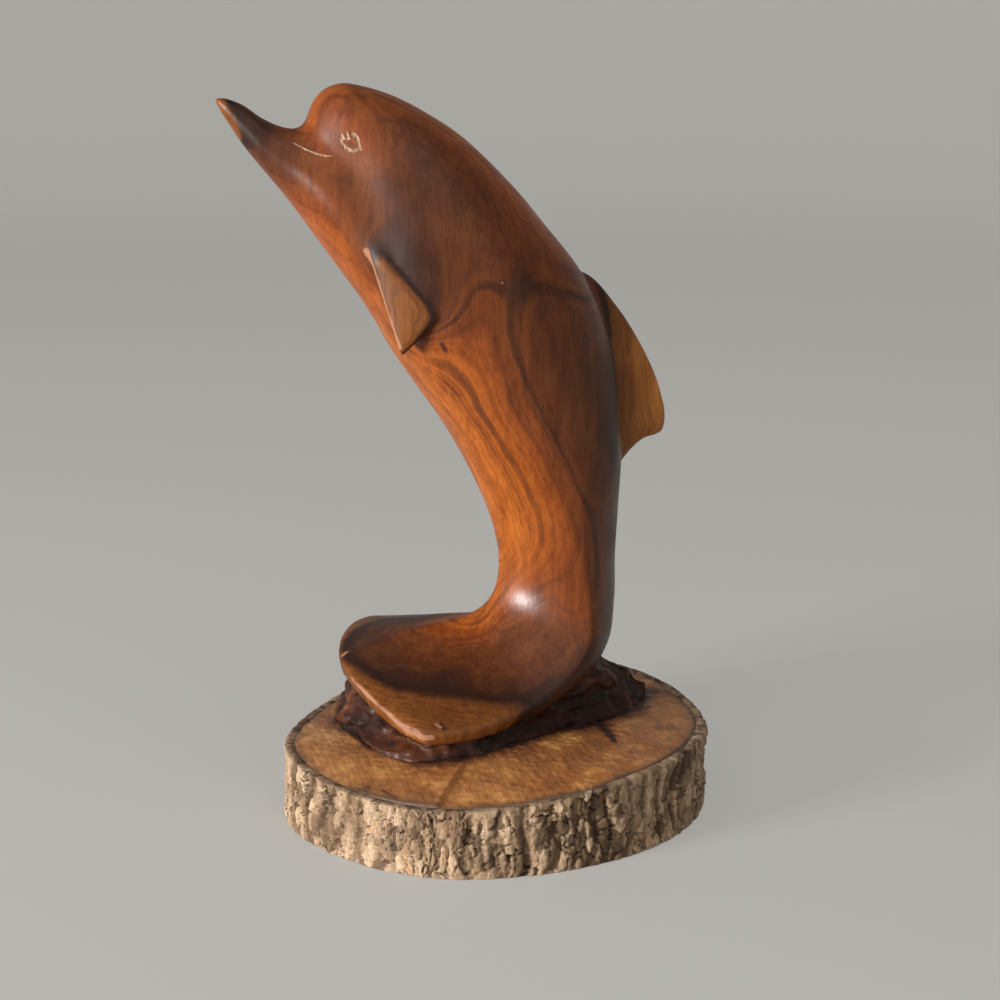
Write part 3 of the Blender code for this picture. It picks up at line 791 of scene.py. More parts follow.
# Colours of the wood by share of the way out to the heartwood's edge, where pale sapwood starts
WOOD_COLOURS = (
    (0.00, (0.44, 0.115, 0.012)),
    (0.50, (0.41, 0.105, 0.011)),
    (0.66, (0.36, 0.088, 0.010)),
    (0.76, (0.275, 0.065, 0.009)),
    (0.82, (0.205, 0.050, 0.009)),
    (0.865, (0.175, 0.046, 0.010)),
    (0.92, (0.108, 0.029, 0.007)),
    (0.955, (0.044, 0.012, 0.004)),
    (0.988, (0.018, 0.005, 0.002)),
    (1.012, (0.185, 0.059, 0.009)),
    (1.20, (0.245, 0.080, 0.013)),
    # Palest sapwood; on the dolphin only near the dorsal fin's tip, where it is partly painted light
    (1.50, (0.56, 0.210, 0.043)),
)
RING_COLOUR = (0.045, 0.013, 0.006)
GOLD_COLOUR = (0.36, 0.125, 0.020)
FLANK_LINE_COLOUR = (0.050, 0.015, 0.007)

# Shades that the wood is multiplied by
CLOUD_SHADE = (0.50, 0.40, 0.32)
FIBRE_SHADE = (0.50, 0.38, 0.28)
PORE_SHADE = (0.25, 0.16, 0.10)

# Growth rings out to the heartwood's edge, and how often good and lean years change
RING_COUNT = 30.0
YEAR_CHANGES = 0.4

# Heights between which the rings fade towards the head
FADE_RINGS = (0.225, 0.265)


def figured_wood(recipe):
    """The wood's colour, its ring lines, fibres and pores, as four sockets."""
    place = recipe.place()
    heart = recipe.attribute("heart")
    height = recipe.node("ShaderNodeSeparateXYZ", place).outputs[2]
    wave = recipe.swing(recipe.grain(place, 0.6, 22.0, 2.0, 0.45), 0.20)
    ripple = recipe.swing(recipe.grain(place, 0.25, 95.0, 2.0, 0.5), 0.016)
    flame = recipe.grain(place, 0.3, 40.0, 3.0, 0.6, 0.5)

    # Heartwood to sapwood, with one dark ring that arches over the flank
    zone = recipe.plus(heart, ripple)
    stops = [(share / 2, shade) for share, shade in WOOD_COLOURS]
    colour = recipe.ramp(recipe.math("DIVIDE", zone, 2.0), stops)
    line = recipe.times(
        recipe.step(zone, 0.850, 0.859),
        recipe.step(zone, 0.861, 0.876, 1.0, 0.0),
        recipe.step(height, 0.236, 0.256, 0.75, 0.0),
        recipe.step(height, 0.085, 0.105),
    )

    # Good and lean years: broad bands of rings that are more golden or darker
    grown = recipe.plus(heart, wave, ripple)
    years = recipe.node("ShaderNodeTexNoise", noise_dimensions="1D")
    for label, value in (("Detail", 2.0), ("Scale", 1.0),
                         ("W", recipe.times(grown, RING_COUNT * YEAR_CHANGES))):
        recipe.put(years.inputs[label], value)
    in_heart = recipe.step(heart, 0.93, 0.99, 1.0, 0.2)
    lean = recipe.times(
        recipe.step(years.outputs[0], 0.48, 0.70, 0.0, 0.75),
        in_heart,
        recipe.step(flame, 0.32, 0.62, 0.15, 1.0),
        recipe.step(height, *FADE_RINGS, 1.0, 0.6),
    )
    good = recipe.times(
        recipe.step(years.outputs[0], 0.28, 0.48, 0.30, 0.0),
        in_heart,
        recipe.step(flame, 0.40, 0.65, 1.0, 0.2),
    )

    # Ring lines: each ring darkens slowly outwards and ends sharply
    phase = recipe.times(grown, RING_COUNT)
    across = recipe.math("FRACT", phase)
    strength = recipe.node("ShaderNodeTexWhiteNoise", noise_dimensions="1D")
    recipe.put(strength.inputs["W"], recipe.math("FLOOR", phase))
    uneven = recipe.math("MULTIPLY_ADD", strength.outputs[0], 0.75, 0.05)
    rings = recipe.times(
        recipe.step(across, 0.25, 0.92),
        recipe.step(across, 0.92, 1.0, 1.0, 0.0),
        recipe.times(uneven, recipe.step(flame, 0.35, 0.62, 0.25, 1.0)),
    )
    colour = recipe.layered(
        colour,
        (line, FLANK_LINE_COLOUR),
        (good, GOLD_COLOUR),
        (lean, RING_COLOUR),
        (recipe.times(rings, recipe.step(height, *FADE_RINGS, 0.75, 0.30)), RING_COLOUR),
    )

    # Fibres and pores along the log
    cloud = recipe.grain(place, 0.2, 170.0, 4.0, 0.65)
    fibre = recipe.grain(place, 0.06, 520.0, 3.0, 0.62)
    specks = recipe.step(recipe.grain(place, 0.12, 1100.0, 2.0, 0.55), 0.58, 0.70)
    colour = recipe.layered(
        colour,
        (recipe.step(cloud, 0.38, 0.66, 0.0, 0.55), CLOUD_SHADE),
        (recipe.times(recipe.step(fibre, 0.35, 0.7), 0.42), FIBRE_SHADE),
        (recipe.times(specks, 0.35), PORE_SHADE),
        kind="MULTIPLY",
    )
    return colour, rings, fibre, specks


# Dark spots, and painted shade behind the flipper and on the dorsal fin's edge
DARK_SPOT_AND_SHADE_COLOUR = (0.030, 0.009, 0.005)
# Pale edges: painted highlight, partly rubbed wood
RUBBED_AND_HIGHLIGHT_COLOUR = (0.36, 0.165, 0.085)
FILLER_COLOUR = (0.62, 0.48, 0.36)


def varnished_wood():
    """Sanded two-tone wood under satin varnish, with pale edges that are painted highlight and
    partly rubbed wood.
    """
    made, recipe, shader = new_material("varnished_two_tone_wood", [("Specular IOR Level", 0.29)])
    colour, rings, fibre, specks = figured_wood(recipe)
    place = recipe.place()
    scuffs = recipe.noise(place, 260.0, 4.0, 0.7)
    # Pale edges: painted highlight where they face the window, partly varnish rubbed through
    worn_and_lit = recipe.plus(recipe.attribute("wear_and_highlight"), recipe.swing(scuffs, 0.7))
    worn_and_lit = recipe.step(worn_and_lit, 0.42, 0.80, 0.0, 0.85)

    # Specks of pale filler in a few pores
    holes = recipe.cells(place, 75.0)
    tone = recipe.node("ShaderNodeSeparateColor", holes.outputs["Color"]).outputs[0]
    filler = recipe.step(holes.outputs["Distance"], 0.022, 0.034, 1.0, 0.0)
    colour = recipe.layered(
        colour,
        # Dark spots, and painted shade behind the flipper and on the dorsal fin's edge
        (recipe.step(recipe.attribute("dark_spot_and_shade"), 0.25, 0.8, 0.0, 0.9), DARK_SPOT_AND_SHADE_COLOUR),
        # Pale edges: painted highlight, partly rubbed wood
        (worn_and_lit, RUBBED_AND_HIGHLIGHT_COLOUR),
        (recipe.times(filler, recipe.step(tone, 0.86, 0.87), 0.6), FILLER_COLOUR),
    )

    # Satin, glossier where it is polished and rougher where it is dull or on the pale edges
    satin = recipe.step(recipe.noise(place, 45.0, 3.0, 0.6), 0.3, 0.7, 0.34, 0.46)
    for share, change in ((recipe.attribute("polish"), -0.19),
                          (recipe.attribute("dull"), 0.24),
                          (worn_and_lit, 0.30)):
        satin = recipe.math("MULTIPLY_ADD", share, change, satin)
    height = fibre
    for hollow in (recipe.times(specks, 0.25), recipe.times(rings, 0.5),
                   recipe.times(worn_and_lit, scuffs)):
        height = recipe.math("SUBTRACT", height, hollow)
    finish_material(recipe, shader, colour, satin, height, (0.4, 0.00014))
    return made


SAP_COLOUR = (0.43, 0.175, 0.050)
RED_PATCH = (0.30, 0.092, 0.018)
BROWN_PATCH = (0.17, 0.060, 0.017)
PALE_PATCH = (0.60, 0.290, 0.090)
PALE_SAW_MARK = (0.58, 0.30, 0.12)
DARK_SAW_MARK = (0.15, 0.055, 0.018)
THIN_STAIN = (0.12, 0.030, 0.008)
THICK_STAIN = (0.020, 0.006, 0.003)
INNER_BARK_EDGE = (0.22, 0.095, 0.035)
INNER_BARK_COLOUR = (0.085, 0.048, 0.026)

# Way of the saw over the face, and how much longer than wide its marks are
SAW_TURN = math.radians(62)
SAW_STRETCH = (1.0, 0.07, 1.0)


def sawn_top_wood():
    """The slice's upper face: pale wood with saw and brush marks, dark against the mound."""
    made, recipe, shader = new_material(
        "sawn_slice_wood", [("Coat Weight", 0.15), ("Coat Roughness", 0.3)])
    place = recipe.place()
    turned = recipe.node("ShaderNodeMapping", place)
    turned.inputs["Rotation"].default_value = (0.0, 0.0, SAW_TURN)
    turned.inputs["Scale"].default_value = SAW_STRETCH
    saw = recipe.noise(turned.outputs[0], 420.0, 3.0, 0.6)
    broad = recipe.noise(place, 17.0, 3.0, 0.62)
    patches = recipe.noise(place, 48.0, 4.0, 0.65)
    blot = recipe.plus(recipe.attribute("stain"), recipe.swing(patches, 1.3), recipe.swing(saw, 0.4))
    ragged = recipe.plus(recipe.attribute("rim"), recipe.swing(patches, 0.9))
    colour = recipe.layered(
        figured_wood(recipe)[0],
        (0.8, SAP_COLOUR),
        (recipe.step(broad, 0.46, 0.60, 0.0, 0.6), RED_PATCH),
        (recipe.step(patches, 0.46, 0.66, 0.0, 0.6), BROWN_PATCH),
        (recipe.step(patches, 0.34, 0.48, 0.8, 0.0), PALE_PATCH),
        (recipe.step(saw, 0.55, 0.75, 0.0, 0.22), PALE_SAW_MARK),
        (recipe.step(saw, 0.28, 0.42, 0.25, 0.0), DARK_SAW_MARK),
        (recipe.step(blot, 0.12, 0.55, 0.0, 0.75), THIN_STAIN),
        (recipe.step(blot, 0.50, 0.95, 0.0, 0.95), THICK_STAIN),
        (recipe.step(ragged, 0.40, 0.72, 0.0, 0.5), INNER_BARK_EDGE),
        (recipe.step(ragged, 0.68, 0.95, 0.0, 0.85), INNER_BARK_COLOUR),
    )
    height = recipe.plus(recipe.times(saw, 0.8), recipe.times(patches, 1.5))
    roughness = recipe.step(patches, 0.3, 0.7, 0.42, 0.62)
    finish_material(recipe, shader, colour, roughness, height, (0.8, 0.0006))
    return made


MOUND_COLOURS = (
    (0.36, (0.009, 0.002, 0.001)),
    (0.52, (0.030, 0.007, 0.003)),
    (0.64, (0.075, 0.019, 0.006)),
    (0.76, (0.170, 0.055, 0.014)),
)
MOUND_FIBRE_SHADE = (0.3, 0.2, 0.15)
RIDGE_COLOUR = (0.16, 0.050, 0.013)


def gouged_wood():
    """The rough-cut mound under the tail, dark with stain under thin varnish."""
    made, recipe, shader = new_material(
        "gouged_dark_wood",
        [("Specular IOR Level", 0.2), ("Coat Weight", 0.08), ("Coat Roughness", 0.25)])
    place = recipe.place()
    patches = recipe.noise(recipe.vector("MULTIPLY", place, (0.6, 1.0, 1.6)), 60.0, 4.0, 0.6)
    fibre = recipe.noise(recipe.vector("MULTIPLY", place, (0.15, 1.0, 1.0)), 700.0, 3.0, 0.6)
    streaks = (recipe.step(fibre, 0.4, 0.7, 0.0, 0.4), MOUND_FIBRE_SHADE)
    ridges = (recipe.step(recipe.attribute("scoop"), 0.50, 0.80, 0.0, 0.22), RIDGE_COLOUR)
    colour = recipe.layered(recipe.ramp(patches, MOUND_COLOURS), streaks, kind="MULTIPLY")
    colour = recipe.layered(colour, ridges)
    roughness = recipe.step(fibre, 0.3, 0.7, 0.45, 0.7)
    finish_material(recipe, shader, colour, roughness, recipe.plus(fibre, patches), (0.6, 0.0005))
    return made


CUT_COLOURS = (
    (0.34, (0.14, 0.060, 0.030)),
    (0.50, (0.32, 0.175, 0.105)),
    (0.66, (0.50, 0.310, 0.200)),
)


def fresh_cut():
    """Pale raw wood where the eye and mouth were chiselled after varnishing."""
    made, recipe, shader = new_material("fresh_chisel_cut")
    grain = recipe.grain(recipe.place(), 0.2, 1400.0, 3.0, 0.6)
    colour = recipe.ramp(grain, CUT_COLOURS)
    finish_material(recipe, shader, colour, 0.6, grain, (0.5, 0.0003))
    return made


# Bark: weathered grey-brown, with warm fresh breaks at the high end
BARK_COLOURS = (
    (0.25, (0.105, 0.060, 0.030)),
    (0.40, (0.230, 0.140, 0.074)),
    (0.52, (0.410, 0.270, 0.155)),
    (0.64, (0.600, 0.430, 0.275)),
    (0.76, (0.500, 0.260, 0.115)),
)
GRIT_SHADE = (0.35, 0.28, 0.22)
FURROW_SHADE = (0.32, 0.24, 0.18)
CRACK_COLOUR = (0.014, 0.008, 0.005)


def dry_bark():
    """Grey-brown bark: pale weathered plates, warm fresh breaks and black cracks."""
    made, recipe, shader = new_material("dry_cracked_bark")
    place = recipe.place()
    weather = recipe.grain(place, 0.3, 120.0, 4.0, 0.65)
    grit = recipe.grain(place, 0.5, 1100.0, 3.0, 0.7)
    tone = recipe.plus(recipe.times(recipe.attribute("plate"), 0.35), recipe.times(weather, 0.65))
    colour = recipe.layered(
        recipe.ramp(tone, BARK_COLOURS),
        (recipe.step(grit, 0.38, 0.62, 0.55, 0.0), GRIT_SHADE),
        (recipe.step(recipe.attribute("level"), 0.15, 0.5, 0.75, 0.0), FURROW_SHADE),
        kind="MULTIPLY",
    )
    crack = recipe.step(recipe.attribute("crack"), 0.25, 0.9, 0.0, 0.92)
    colour = recipe.layered(colour, (crack, CRACK_COLOUR))
    roughness = recipe.step(grit, 0.3, 0.7, 0.78, 0.95)
    finish_material(recipe, shader, colour, roughness, recipe.plus(grit, weather), (0.8, 0.0006))
    return made


# Pieces


def ride_whole(piece):
    """Every piece belongs to the one body and stands for the one carved node."""
    piece.data.shade_smooth()
    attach(piece, "root")
    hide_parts(NODE)


def sanded(skin):
    """Rounds the skin over, most of all along the seam between throat and chest."""
    smooth = skin.modifiers.new("sanded", "SMOOTH")
    smooth.factor = SMOOTHING_SHARE
    smooth.iterations = SMOOTHING_PASSES
    group = skin.vertex_groups.new(name="seam")
    distance = distance_to(near_side(points_of(skin)), SOFT_SEAM)
    for index in np.flatnonzero(distance < SEAM_REACH):
        share = min(1.0, SEAM_STRENGTH * (1 - distance[index] / SEAM_REACH))
        group.add([int(index)], float(share), "REPLACE")
    rounded = skin.modifiers.new("rounded", "SMOOTH")
    rounded.factor = SMOOTHING_SHARE
    rounded.iterations = SEAM_PASSES
    rounded.vertex_group = "seam"
    fewer = skin.modifiers.new("fewer", "DECIMATE")
    fewer.ratio = min(1.0, SKIN_TRIANGLES / (2 * len(skin.data.polygons)))
    return applied(skin, "carving")


def chisel_cuts(carving, material):
    """A closed solid of what the chisel took out for the eyes and mouth, on both sides."""
    tree = BVHTree.FromObject(carving, bpy.context.evaluated_depsgraph_get())
    mesh = bmesh.new()
    for side in (-1, 1):
        for line, half_breadth in CHISEL_CUTS:
            for start, end in zip(line, line[1:]):
                start, end = Vector(start), Vector(end)
                steps = max(1, round((end - start).length / CHISEL_STEP))
                for k in range(steps + 1):
                    x, z = start.lerp(end, k / steps)
                    outside = Vector((x, side * OUTSIDE, z)) * MM
                    spot, normal = tree.ray_cast(outside, Vector((0, -side, 0)))[:2]
                    radius = half_breadth * MM / math.sqrt(1 - CHISEL_LIFT**2)
                    centre = spot + normal * radius * CHISEL_LIFT
                    bmesh.ops.create_icosphere(mesh, subdivisions=2, radius=radius,
                                               matrix=Matrix.Translation(centre))
    cuts = to_object(mesh, "cuts")
    whole = cuts.modifiers.new("whole", "REMESH")
    whole.mode = "VOXEL"
    whole.voxel_size = CHISEL_VOXEL * MM
    cuts = applied(cuts, "cuts")
    cuts.data.materials.clear()
    cuts.data.materials.append(material)
    return cuts


def dolphin(material, cut_material):
    """Blends the lofted forms into one sanded skin, and chisels its eyes and mouth."""
    blocked = join((body(), jaw(), dorsal_fin(), flipper(-1), flipper(1)), "blocked")
    skin = blocked.modifiers.new("skin", "REMESH")
    skin.mode = "VOXEL"
    skin.voxel_size = VOXEL * MM
    carving = sanded(applied(blocked, "skin"))
    carving.data.materials.clear()
    carving.data.materials.append(material)
    cuts = chisel_cuts(carving, cut_material)
    chisel = carving.modifiers.new("chisel", "BOOLEAN")
    chisel.operation = "DIFFERENCE"
    chisel.solver = "EXACT"
    chisel.material_mode = "TRANSFER"
    chisel.object = cuts
    carving = applied(carving, "dolphin")
    bpy.data.objects.remove(cuts)
    grow(carving)
    points = points_of(carving)
    for name, lines in SKIN_MARKS.items():
        store(carving, name, strongest_mark(points, lines))
    ride_whole(carving)
    carving.data.set_sharp_from_angle(angle=SHARP_EDGE)


# Mound: how rough it is, and its points round each section and along X
MOUND_ROUGHNESS = 2.0
MOUND_SPAN_RINGS = 14
MOUND_LEG_POINTS = 22

# Its first rough cuts: broad and fine ones per millimetre, the fine ones' share, and how much
# less they move it up than sideways
BROAD_CUTS = 0.09
FINE_CUTS = 0.22
FINE_CUT_SHARE = 0.6
CUT_FLATNESS = 0.3


def mound(material):
    """The block of wood left between the tail and the slice, before it is gouged."""
    rings = []
    for x, foot, crest, crest_z in smooth_rail([tuple(s) for s in MOUND], MOUND_SPAN_RINGS):
        middle_z = min(MOUND_MIDDLE_Z, crest_z + MOUND_CROWN)
        waist = (foot * MOUND_WAIST + crest * (1 - MOUND_WAIST), (SLICE_THICKNESS + crest_z) / 2)
        corners = ((foot, MOUND_FLOOR_Z), (foot, SLICE_THICKNESS - MOUND_FOOT_DEPTH), waist,
                   (crest, crest_z), (0, middle_z))
        half = []
        for start, end in zip(corners, corners[1:]):
            for k in range(MOUND_LEG_POINTS):
                t = k / MOUND_LEG_POINTS
                half.append([a + (b - a) * t for a, b in zip(start, end)])
        rolls = [TAIL_ROLL * out * rolled(z) for out, z in half]
        far = [(x, MIDDLE_Y + out, z + roll) for (out, z), roll in zip(half, rolls)]
        near = [(x, MIDDLE_Y - out, z - roll) for (out, z), roll in zip(half, rolls)][::-1]
        rings.append([axed(p) for p in (*far, (x, MIDDLE_Y, middle_z), *near)])
    block = to_object(loft(rings), "block")
    gouged = shaped(block, gouge_cuts(material), GOUGE_SIZES, "gouged_mound")
    grow(gouged)
    ride_whole(gouged)


def rolled(z):
    """How much of the tail's roll the mound has at a height, from 0 at its foot to 1."""
    return min(1.0, max(0.0, (z - SLICE_THICKNESS + MOUND_FOOT_DEPTH) / MOUND_ROLL_RISE))


def axed(point):
    """Pushes a point of the mound about, as the first rough cuts leave it."""
    p = Vector(point)
    push = noise.noise_vector(p * BROAD_CUTS) + noise.noise_vector(p * FINE_CUTS) * FINE_CUT_SHARE
    push.z *= CUT_FLATNESS
    return tuple(p + push * MOUND_ROUGHNESS)


GOUGE_SIZES = {"Depth": 0.0032, "Cuts per metre": 120.0}

# Strokes run mostly along X, and they wander
STROKE_STRETCH = (0.20, 0.34, 1.2)
STROKE_WANDER = (0.012, 0.012, 0.012)
TORN_STRETCH = (0.25, 1.0, 1.0)


def gouge_cuts(material):
    """Scoops with sharp ridges between them, as a gouge leaves them."""
    recipe, sizes = shape_tree("gouge_cuts", GOUGE_SIZES)
    place = recipe.node("GeometryNodeInputPosition").outputs[0]
    stretched = recipe.vector("MULTIPLY", place, STROKE_STRETCH)
    warped = recipe.vector("ADD", stretched, recipe.wander(place, 40.0, 2.0, STROKE_WANDER))
    scoops = recipe.cells(warped, sizes.outputs["Cuts per metre"])
    bowl = recipe.math("SUBTRACT", recipe.math("POWER", scoops.outputs["Distance"], 2.0), 0.25)
    torn = recipe.noise(recipe.vector("MULTIPLY", place, TORN_STRETCH), 600.0, 3.0)
    bowl = recipe.plus(bowl, recipe.times(recipe.math("SUBTRACT", torn, 0.5), 0.18))
    push = recipe.times(bowl, sizes.outputs["Depth"])
    outward = recipe.node("GeometryNodeInputNormal").outputs[0]
    cut = pushed(recipe, sizes.outputs["Mesh"], outward, push)
    return finish_tree(recipe, keep(recipe, cut, "scoop", scoops.outputs["Distance"]), material)


def round_the_rim(values, angle):
    """A smooth value at an angle, from values at equal steps round the slice."""
    count = len(values)
    place = angle / (2 * math.pi) * count
    i = math.floor(place)
    t = place - i
    p0, p1, p2, p3 = (values[(i + k) % count] for k in (-1, 0, 1, 2))
    return 0.5 * (
        2 * p1
        + (p2 - p0) * t
        + (2 * p0 - 5 * p1 + 4 * p2 - p3) * t**2
        + (3 * p1 - p0 - 3 * p2 + p3) * t**3
    )


def chance(plate, row):
    """A fixed number from -1 to 1 for each plate of the bark."""
    return math.sin(plate % BARK_PLATES * 12.9898 + row * 78.233 + 4.1) * 43758.5453 % 2 - 1


def plate_edge(plate):
    """The turn at which a plate of the bark starts."""
    return 2 * math.pi * (plate + PLATE_UNEVENNESS * chance(plate, 7)) / BARK_PLATES


def bark_relief(plate, across, z):
    """The angle and relief of the bark, at a share of the way across a plate and a height."""
    turn = plate_edge(plate) + (plate_edge(plate + 1) - plate_edge(plate)) * across
    outward = Vector((math.cos(turn), math.sin(turn), 0))
    wander = noise.noise(outward * WANDER_DETAIL + Vector((0, 0, z * WANDER_RISE)))
    furrow = math.exp(-(min(across, 1 - across) / FURROW_SHARE) ** 2)
    furrow *= 0.65 + 0.35 * chance(round(plate + across), 3)
    row = math.floor(z / PLATE_LENGTH + chance(plate, 0))
    relief = PLATE_RELIEF * (0.1 + 0.5 * chance(plate, row)) - FURROW_DEPTH * furrow
    return turn + PLATE_WANDER * wander, relief


# Bark: its mesh, and its upper edge and foot as insets and drops
COLUMNS_PER_PLATE = 17
BARK_ROWS = 60
BARK_EDGE = ((0.5, 0.1), (1.4, 0.0), (2.3, -0.1), (3.2, 0.1), (4.1, 0.2), (BARK_THICKNESS, 0.9))
BARK_FOOT = ((BARK_THICKNESS, 0.4), (2.8, 0.0), (1.0, 0.1))


def polar(reach, angle, z):
    return reach * math.cos(angle), reach * math.sin(angle), z


def slice_edge(angle):
    """Outline radius and rim height of the slice at an angle."""
    radius = SLICE_RADIUS * round_the_rim(SLICE_OUTLINE, angle)
    return radius, SLICE_THICKNESS * round_the_rim(SLICE_RIM, angle)


def bark(material):
    """The bark as a closed band round the wood, with its plates broken up by finer cracks."""
    columns = [
        (plate, k / COLUMNS_PER_PLATE)
        for plate in range(BARK_PLATES)
        for k in range(COLUMNS_PER_PLATE)
    ]
    levels = []
    walls = []

    def ring(share, inset=0.0, drop=0.0, worn=1.0, wall=1.0):
        points = []
        for plate, across in columns:
            angle, relief = bark_relief(plate, across, SLICE_THICKNESS * share)
            radius, rim = slice_edge(angle)
            reach = radius - inset + relief * worn
            points.append(polar(reach, angle, rim * share - drop))
            levels.append((relief / PLATE_RELIEF + 1) / 2 if wall else 0.5)
            walls.append(wall)
        return points

    rings = []
    for k in range(BARK_ROWS + 1):
        share = k / BARK_ROWS
        edge = min(1.0, min(share, 1 - share) * 8 + 0.35)
        rings.append(ring(0.01 + 0.98 * share, worn=edge, wall=edge))
    for inset, drop in BARK_EDGE:
        fade = 0.35 * (1 - inset / BARK_THICKNESS)
        rings.append(ring(1.0, inset, drop, worn=fade, wall=fade))
    rings.append(ring(0.5, BARK_THICKNESS + 1, worn=0, wall=0))
    rings += [ring(0.0, inset, -lift, worn=0, wall=0) for inset, lift in BARK_FOOT]
    band = to_object(loft(rings, round_trip=True), "band")
    store(band, "level", levels)
    store(band, "wall", walls)
    ride_whole(shaped(band, bark_cracks(material), CRACK_SIZES, "bark"))


CRACK_SIZES = {"Crack depth": 0.0016, "Chip relief": 0.0009, "Ridge relief": 0.0012, "Grit": 0.0005}

# How far cracks wander, and how much longer than wide the chips between them are
CRACK_WANDER = (0.009, 0.009, 0.016)
CHIP_STRETCH = (1.0, 1.0, 0.42)
CHIPS_PER_METRE = 240.0


def bark_cracks(material):
    """Fine cracks, chips and grit, pushed out and in from the log's middle."""
    recipe, sizes = shape_tree("bark_cracks", CRACK_SIZES)
    place = recipe.node("GeometryNodeInputPosition").outputs[0]
    shifted = recipe.vector("ADD", place, recipe.wander(place, 110.0, 3.0, CRACK_WANDER))
    upright = recipe.vector("MULTIPLY", shifted, CHIP_STRETCH)
    chips = recipe.cells(upright, CHIPS_PER_METRE)
    gaps = recipe.cells(upright, CHIPS_PER_METRE, "DISTANCE_TO_EDGE")
    open_here = recipe.step(recipe.noise(place, 70.0), 0.38, 0.54)
    crack = recipe.times(recipe.step(gaps.outputs["Distance"], 0.0, 0.11, 1.0, 0.0), open_here)
    tone = recipe.node("ShaderNodeSeparateXYZ", chips.outputs["Color"]).outputs[0]
    ridges = recipe.grain(place, 0.16, 330.0, 4.0, 0.62)
    grit = recipe.grain(place, 0.5, 1000.0, 3.0, 0.65)

    def relief(value, label):
        return recipe.times(recipe.math("SUBTRACT", value, 0.5), sizes.outputs[label])

    push = recipe.plus(
        relief(tone, "Chip relief"),
        recipe.times(relief(ridges, "Ridge relief"), 2.0),
        recipe.times(relief(grit, "Grit"), 2.0),
    )
    push = recipe.math("SUBTRACT", push, recipe.times(crack, sizes.outputs["Crack depth"]))
    push = recipe.times(push, stored(recipe, "wall"))
    outward = recipe.vector("NORMALIZE", recipe.vector("MULTIPLY", place, (1.0, 1.0, 0.0)))
    kept = pushed(recipe, sizes.outputs["Mesh"], outward, push)
    for name, value in (("crack", crack), ("plate", tone)):
        kept = keep(recipe, kept, name, value)
    return finish_tree(recipe, kept, material)


# Sawn slice: its mesh, how rough it is, how far it reaches under the bark, the heights of its
# side's rings, and how far its edge lies under the face
SAWN_COLUMNS = 480
SAWN_RINGS = 84
SAWN_ROUGHNESS = 0.34
SAWN_OVERLAP = 0.8
SAWN_SIDE_HEIGHTS = (0.3, 12.0, 24.0)
SAWN_EDGE_DROP = 0.4

# A sloping saw cut at the front left, as angles and its rise at the step
CUT_START = math.radians(214)
CUT_END = math.radians(240)
CUT_RISE = 1.1

# Breadth of the darker inner bark that shows on the sawn face
INNER_BARK = 8.0

# Stain round the mound's foot, with dark slivers that run out from it over the face
STAIN_REACH = 5.5
STAIN_SLIVERS = (
    Line(((40, -8, 0), (45.5, -14, 0)), 6.5),
    Line(((45.5, -14, 0), (46, -22, 0)), 4.2),
    Line(((46, -22, 0), (45.7, -29, 0)), 2.8),
    Line(((45.7, -29, 0), (45.2, -36, 0)), 1.6),
    Line(((62, 8, 0), (82, 24, 0)), 6.0),
    Line(((-67, -46, 0), (-70, -60, 0), (-72, -70, 0)), 0.7),
    Line(((-62, -52, 0), (-58, -60, 0), (-59, -66, 0)), 0.6),
    Line(((74.6, 4.4, 0), (75.4, 5.4, 0)), 1.6),
)


def sawn_height(angle, share, rim):
    """Height of the sawn face: a plane that rises to the rim, with one sloping extra cut."""
    z = SLICE_THICKNESS + (rim - SLICE_THICKNESS) * share**2
    if CUT_START < angle < CUT_END:
        slope = (angle - CUT_START) / (CUT_END - CUT_START)
        z += CUT_RISE * slope * min(1.0, max(0.0, (share - 0.5) / 0.15))
    spot = Vector((math.cos(angle), math.sin(angle), 0)) * share
    return z + SAWN_ROUGHNESS * (noise.noise(spot * 9) + noise.noise(spot * 30))


def foot_distance(points):
    """How far points of the slice's face lie from the mound's foot, in millimetres."""
    stations = np.array([(s.x, s.foot) for s in MOUND], float)
    x, y = points[:, 0], points[:, 1] - MIDDLE_Y
    half = np.interp(x, stations[:, 0], stations[:, 1])
    beyond = np.maximum(stations[0, 0] - x, x - stations[-1, 0]).clip(min=0)
    return np.hypot(beyond, (np.abs(y) - half).clip(min=0))


def sawn_slice(material):
    """The wood inside the bark, with its sawn upper face."""
    angles = [2 * math.pi * k / SAWN_COLUMNS for k in range(SAWN_COLUMNS)]
    inset = BARK_THICKNESS - SAWN_OVERLAP
    rings = [[polar(slice_edge(angle)[0] - inset, angle, z) for angle in angles]
             for z in SAWN_SIDE_HEIGHTS]
    for k in range(SAWN_RINGS):
        share = 1 - k / SAWN_RINGS
        rings.append([])
        for angle in angles:
            radius, rim = slice_edge(angle)
            z = sawn_height(angle, share, rim) - (SAWN_EDGE_DROP if k == 0 else 0.0)
            rings[-1].append(polar((radius - inset) * share, angle, z))
    disc = to_object(loft(rings, None, (0, 0, SLICE_THICKNESS)), "sawn_slice")
    disc.data.materials.append(material)
    grow(disc)
    points = points_of(disc)
    round_foot = np.exp(-foot_distance(points) / STAIN_REACH)
    slivers = strongest_mark(points * (1, 1, 0), STAIN_SLIVERS)
    store(disc, "stain", np.maximum(round_foot, slivers))
    reach = np.array([slice_edge(math.atan2(y, x) % (2 * math.pi))[0] for x, y, z in points])
    from_bark = reach - inset - np.hypot(points[:, 0], points[:, 1])
    store(disc, "rim", np.clip(1 - from_bark / INNER_BARK, 0, 1))
    ride_whole(disc)


# Room: floor, light and camera


CAMERA_PLACE = (-0.2168, -0.8201, 0.3432)
CAMERA_TURN = math.radians(15.0)
CAMERA_DIP = math.radians(13.5)
LENS = 72.0
SENSOR = 36.0


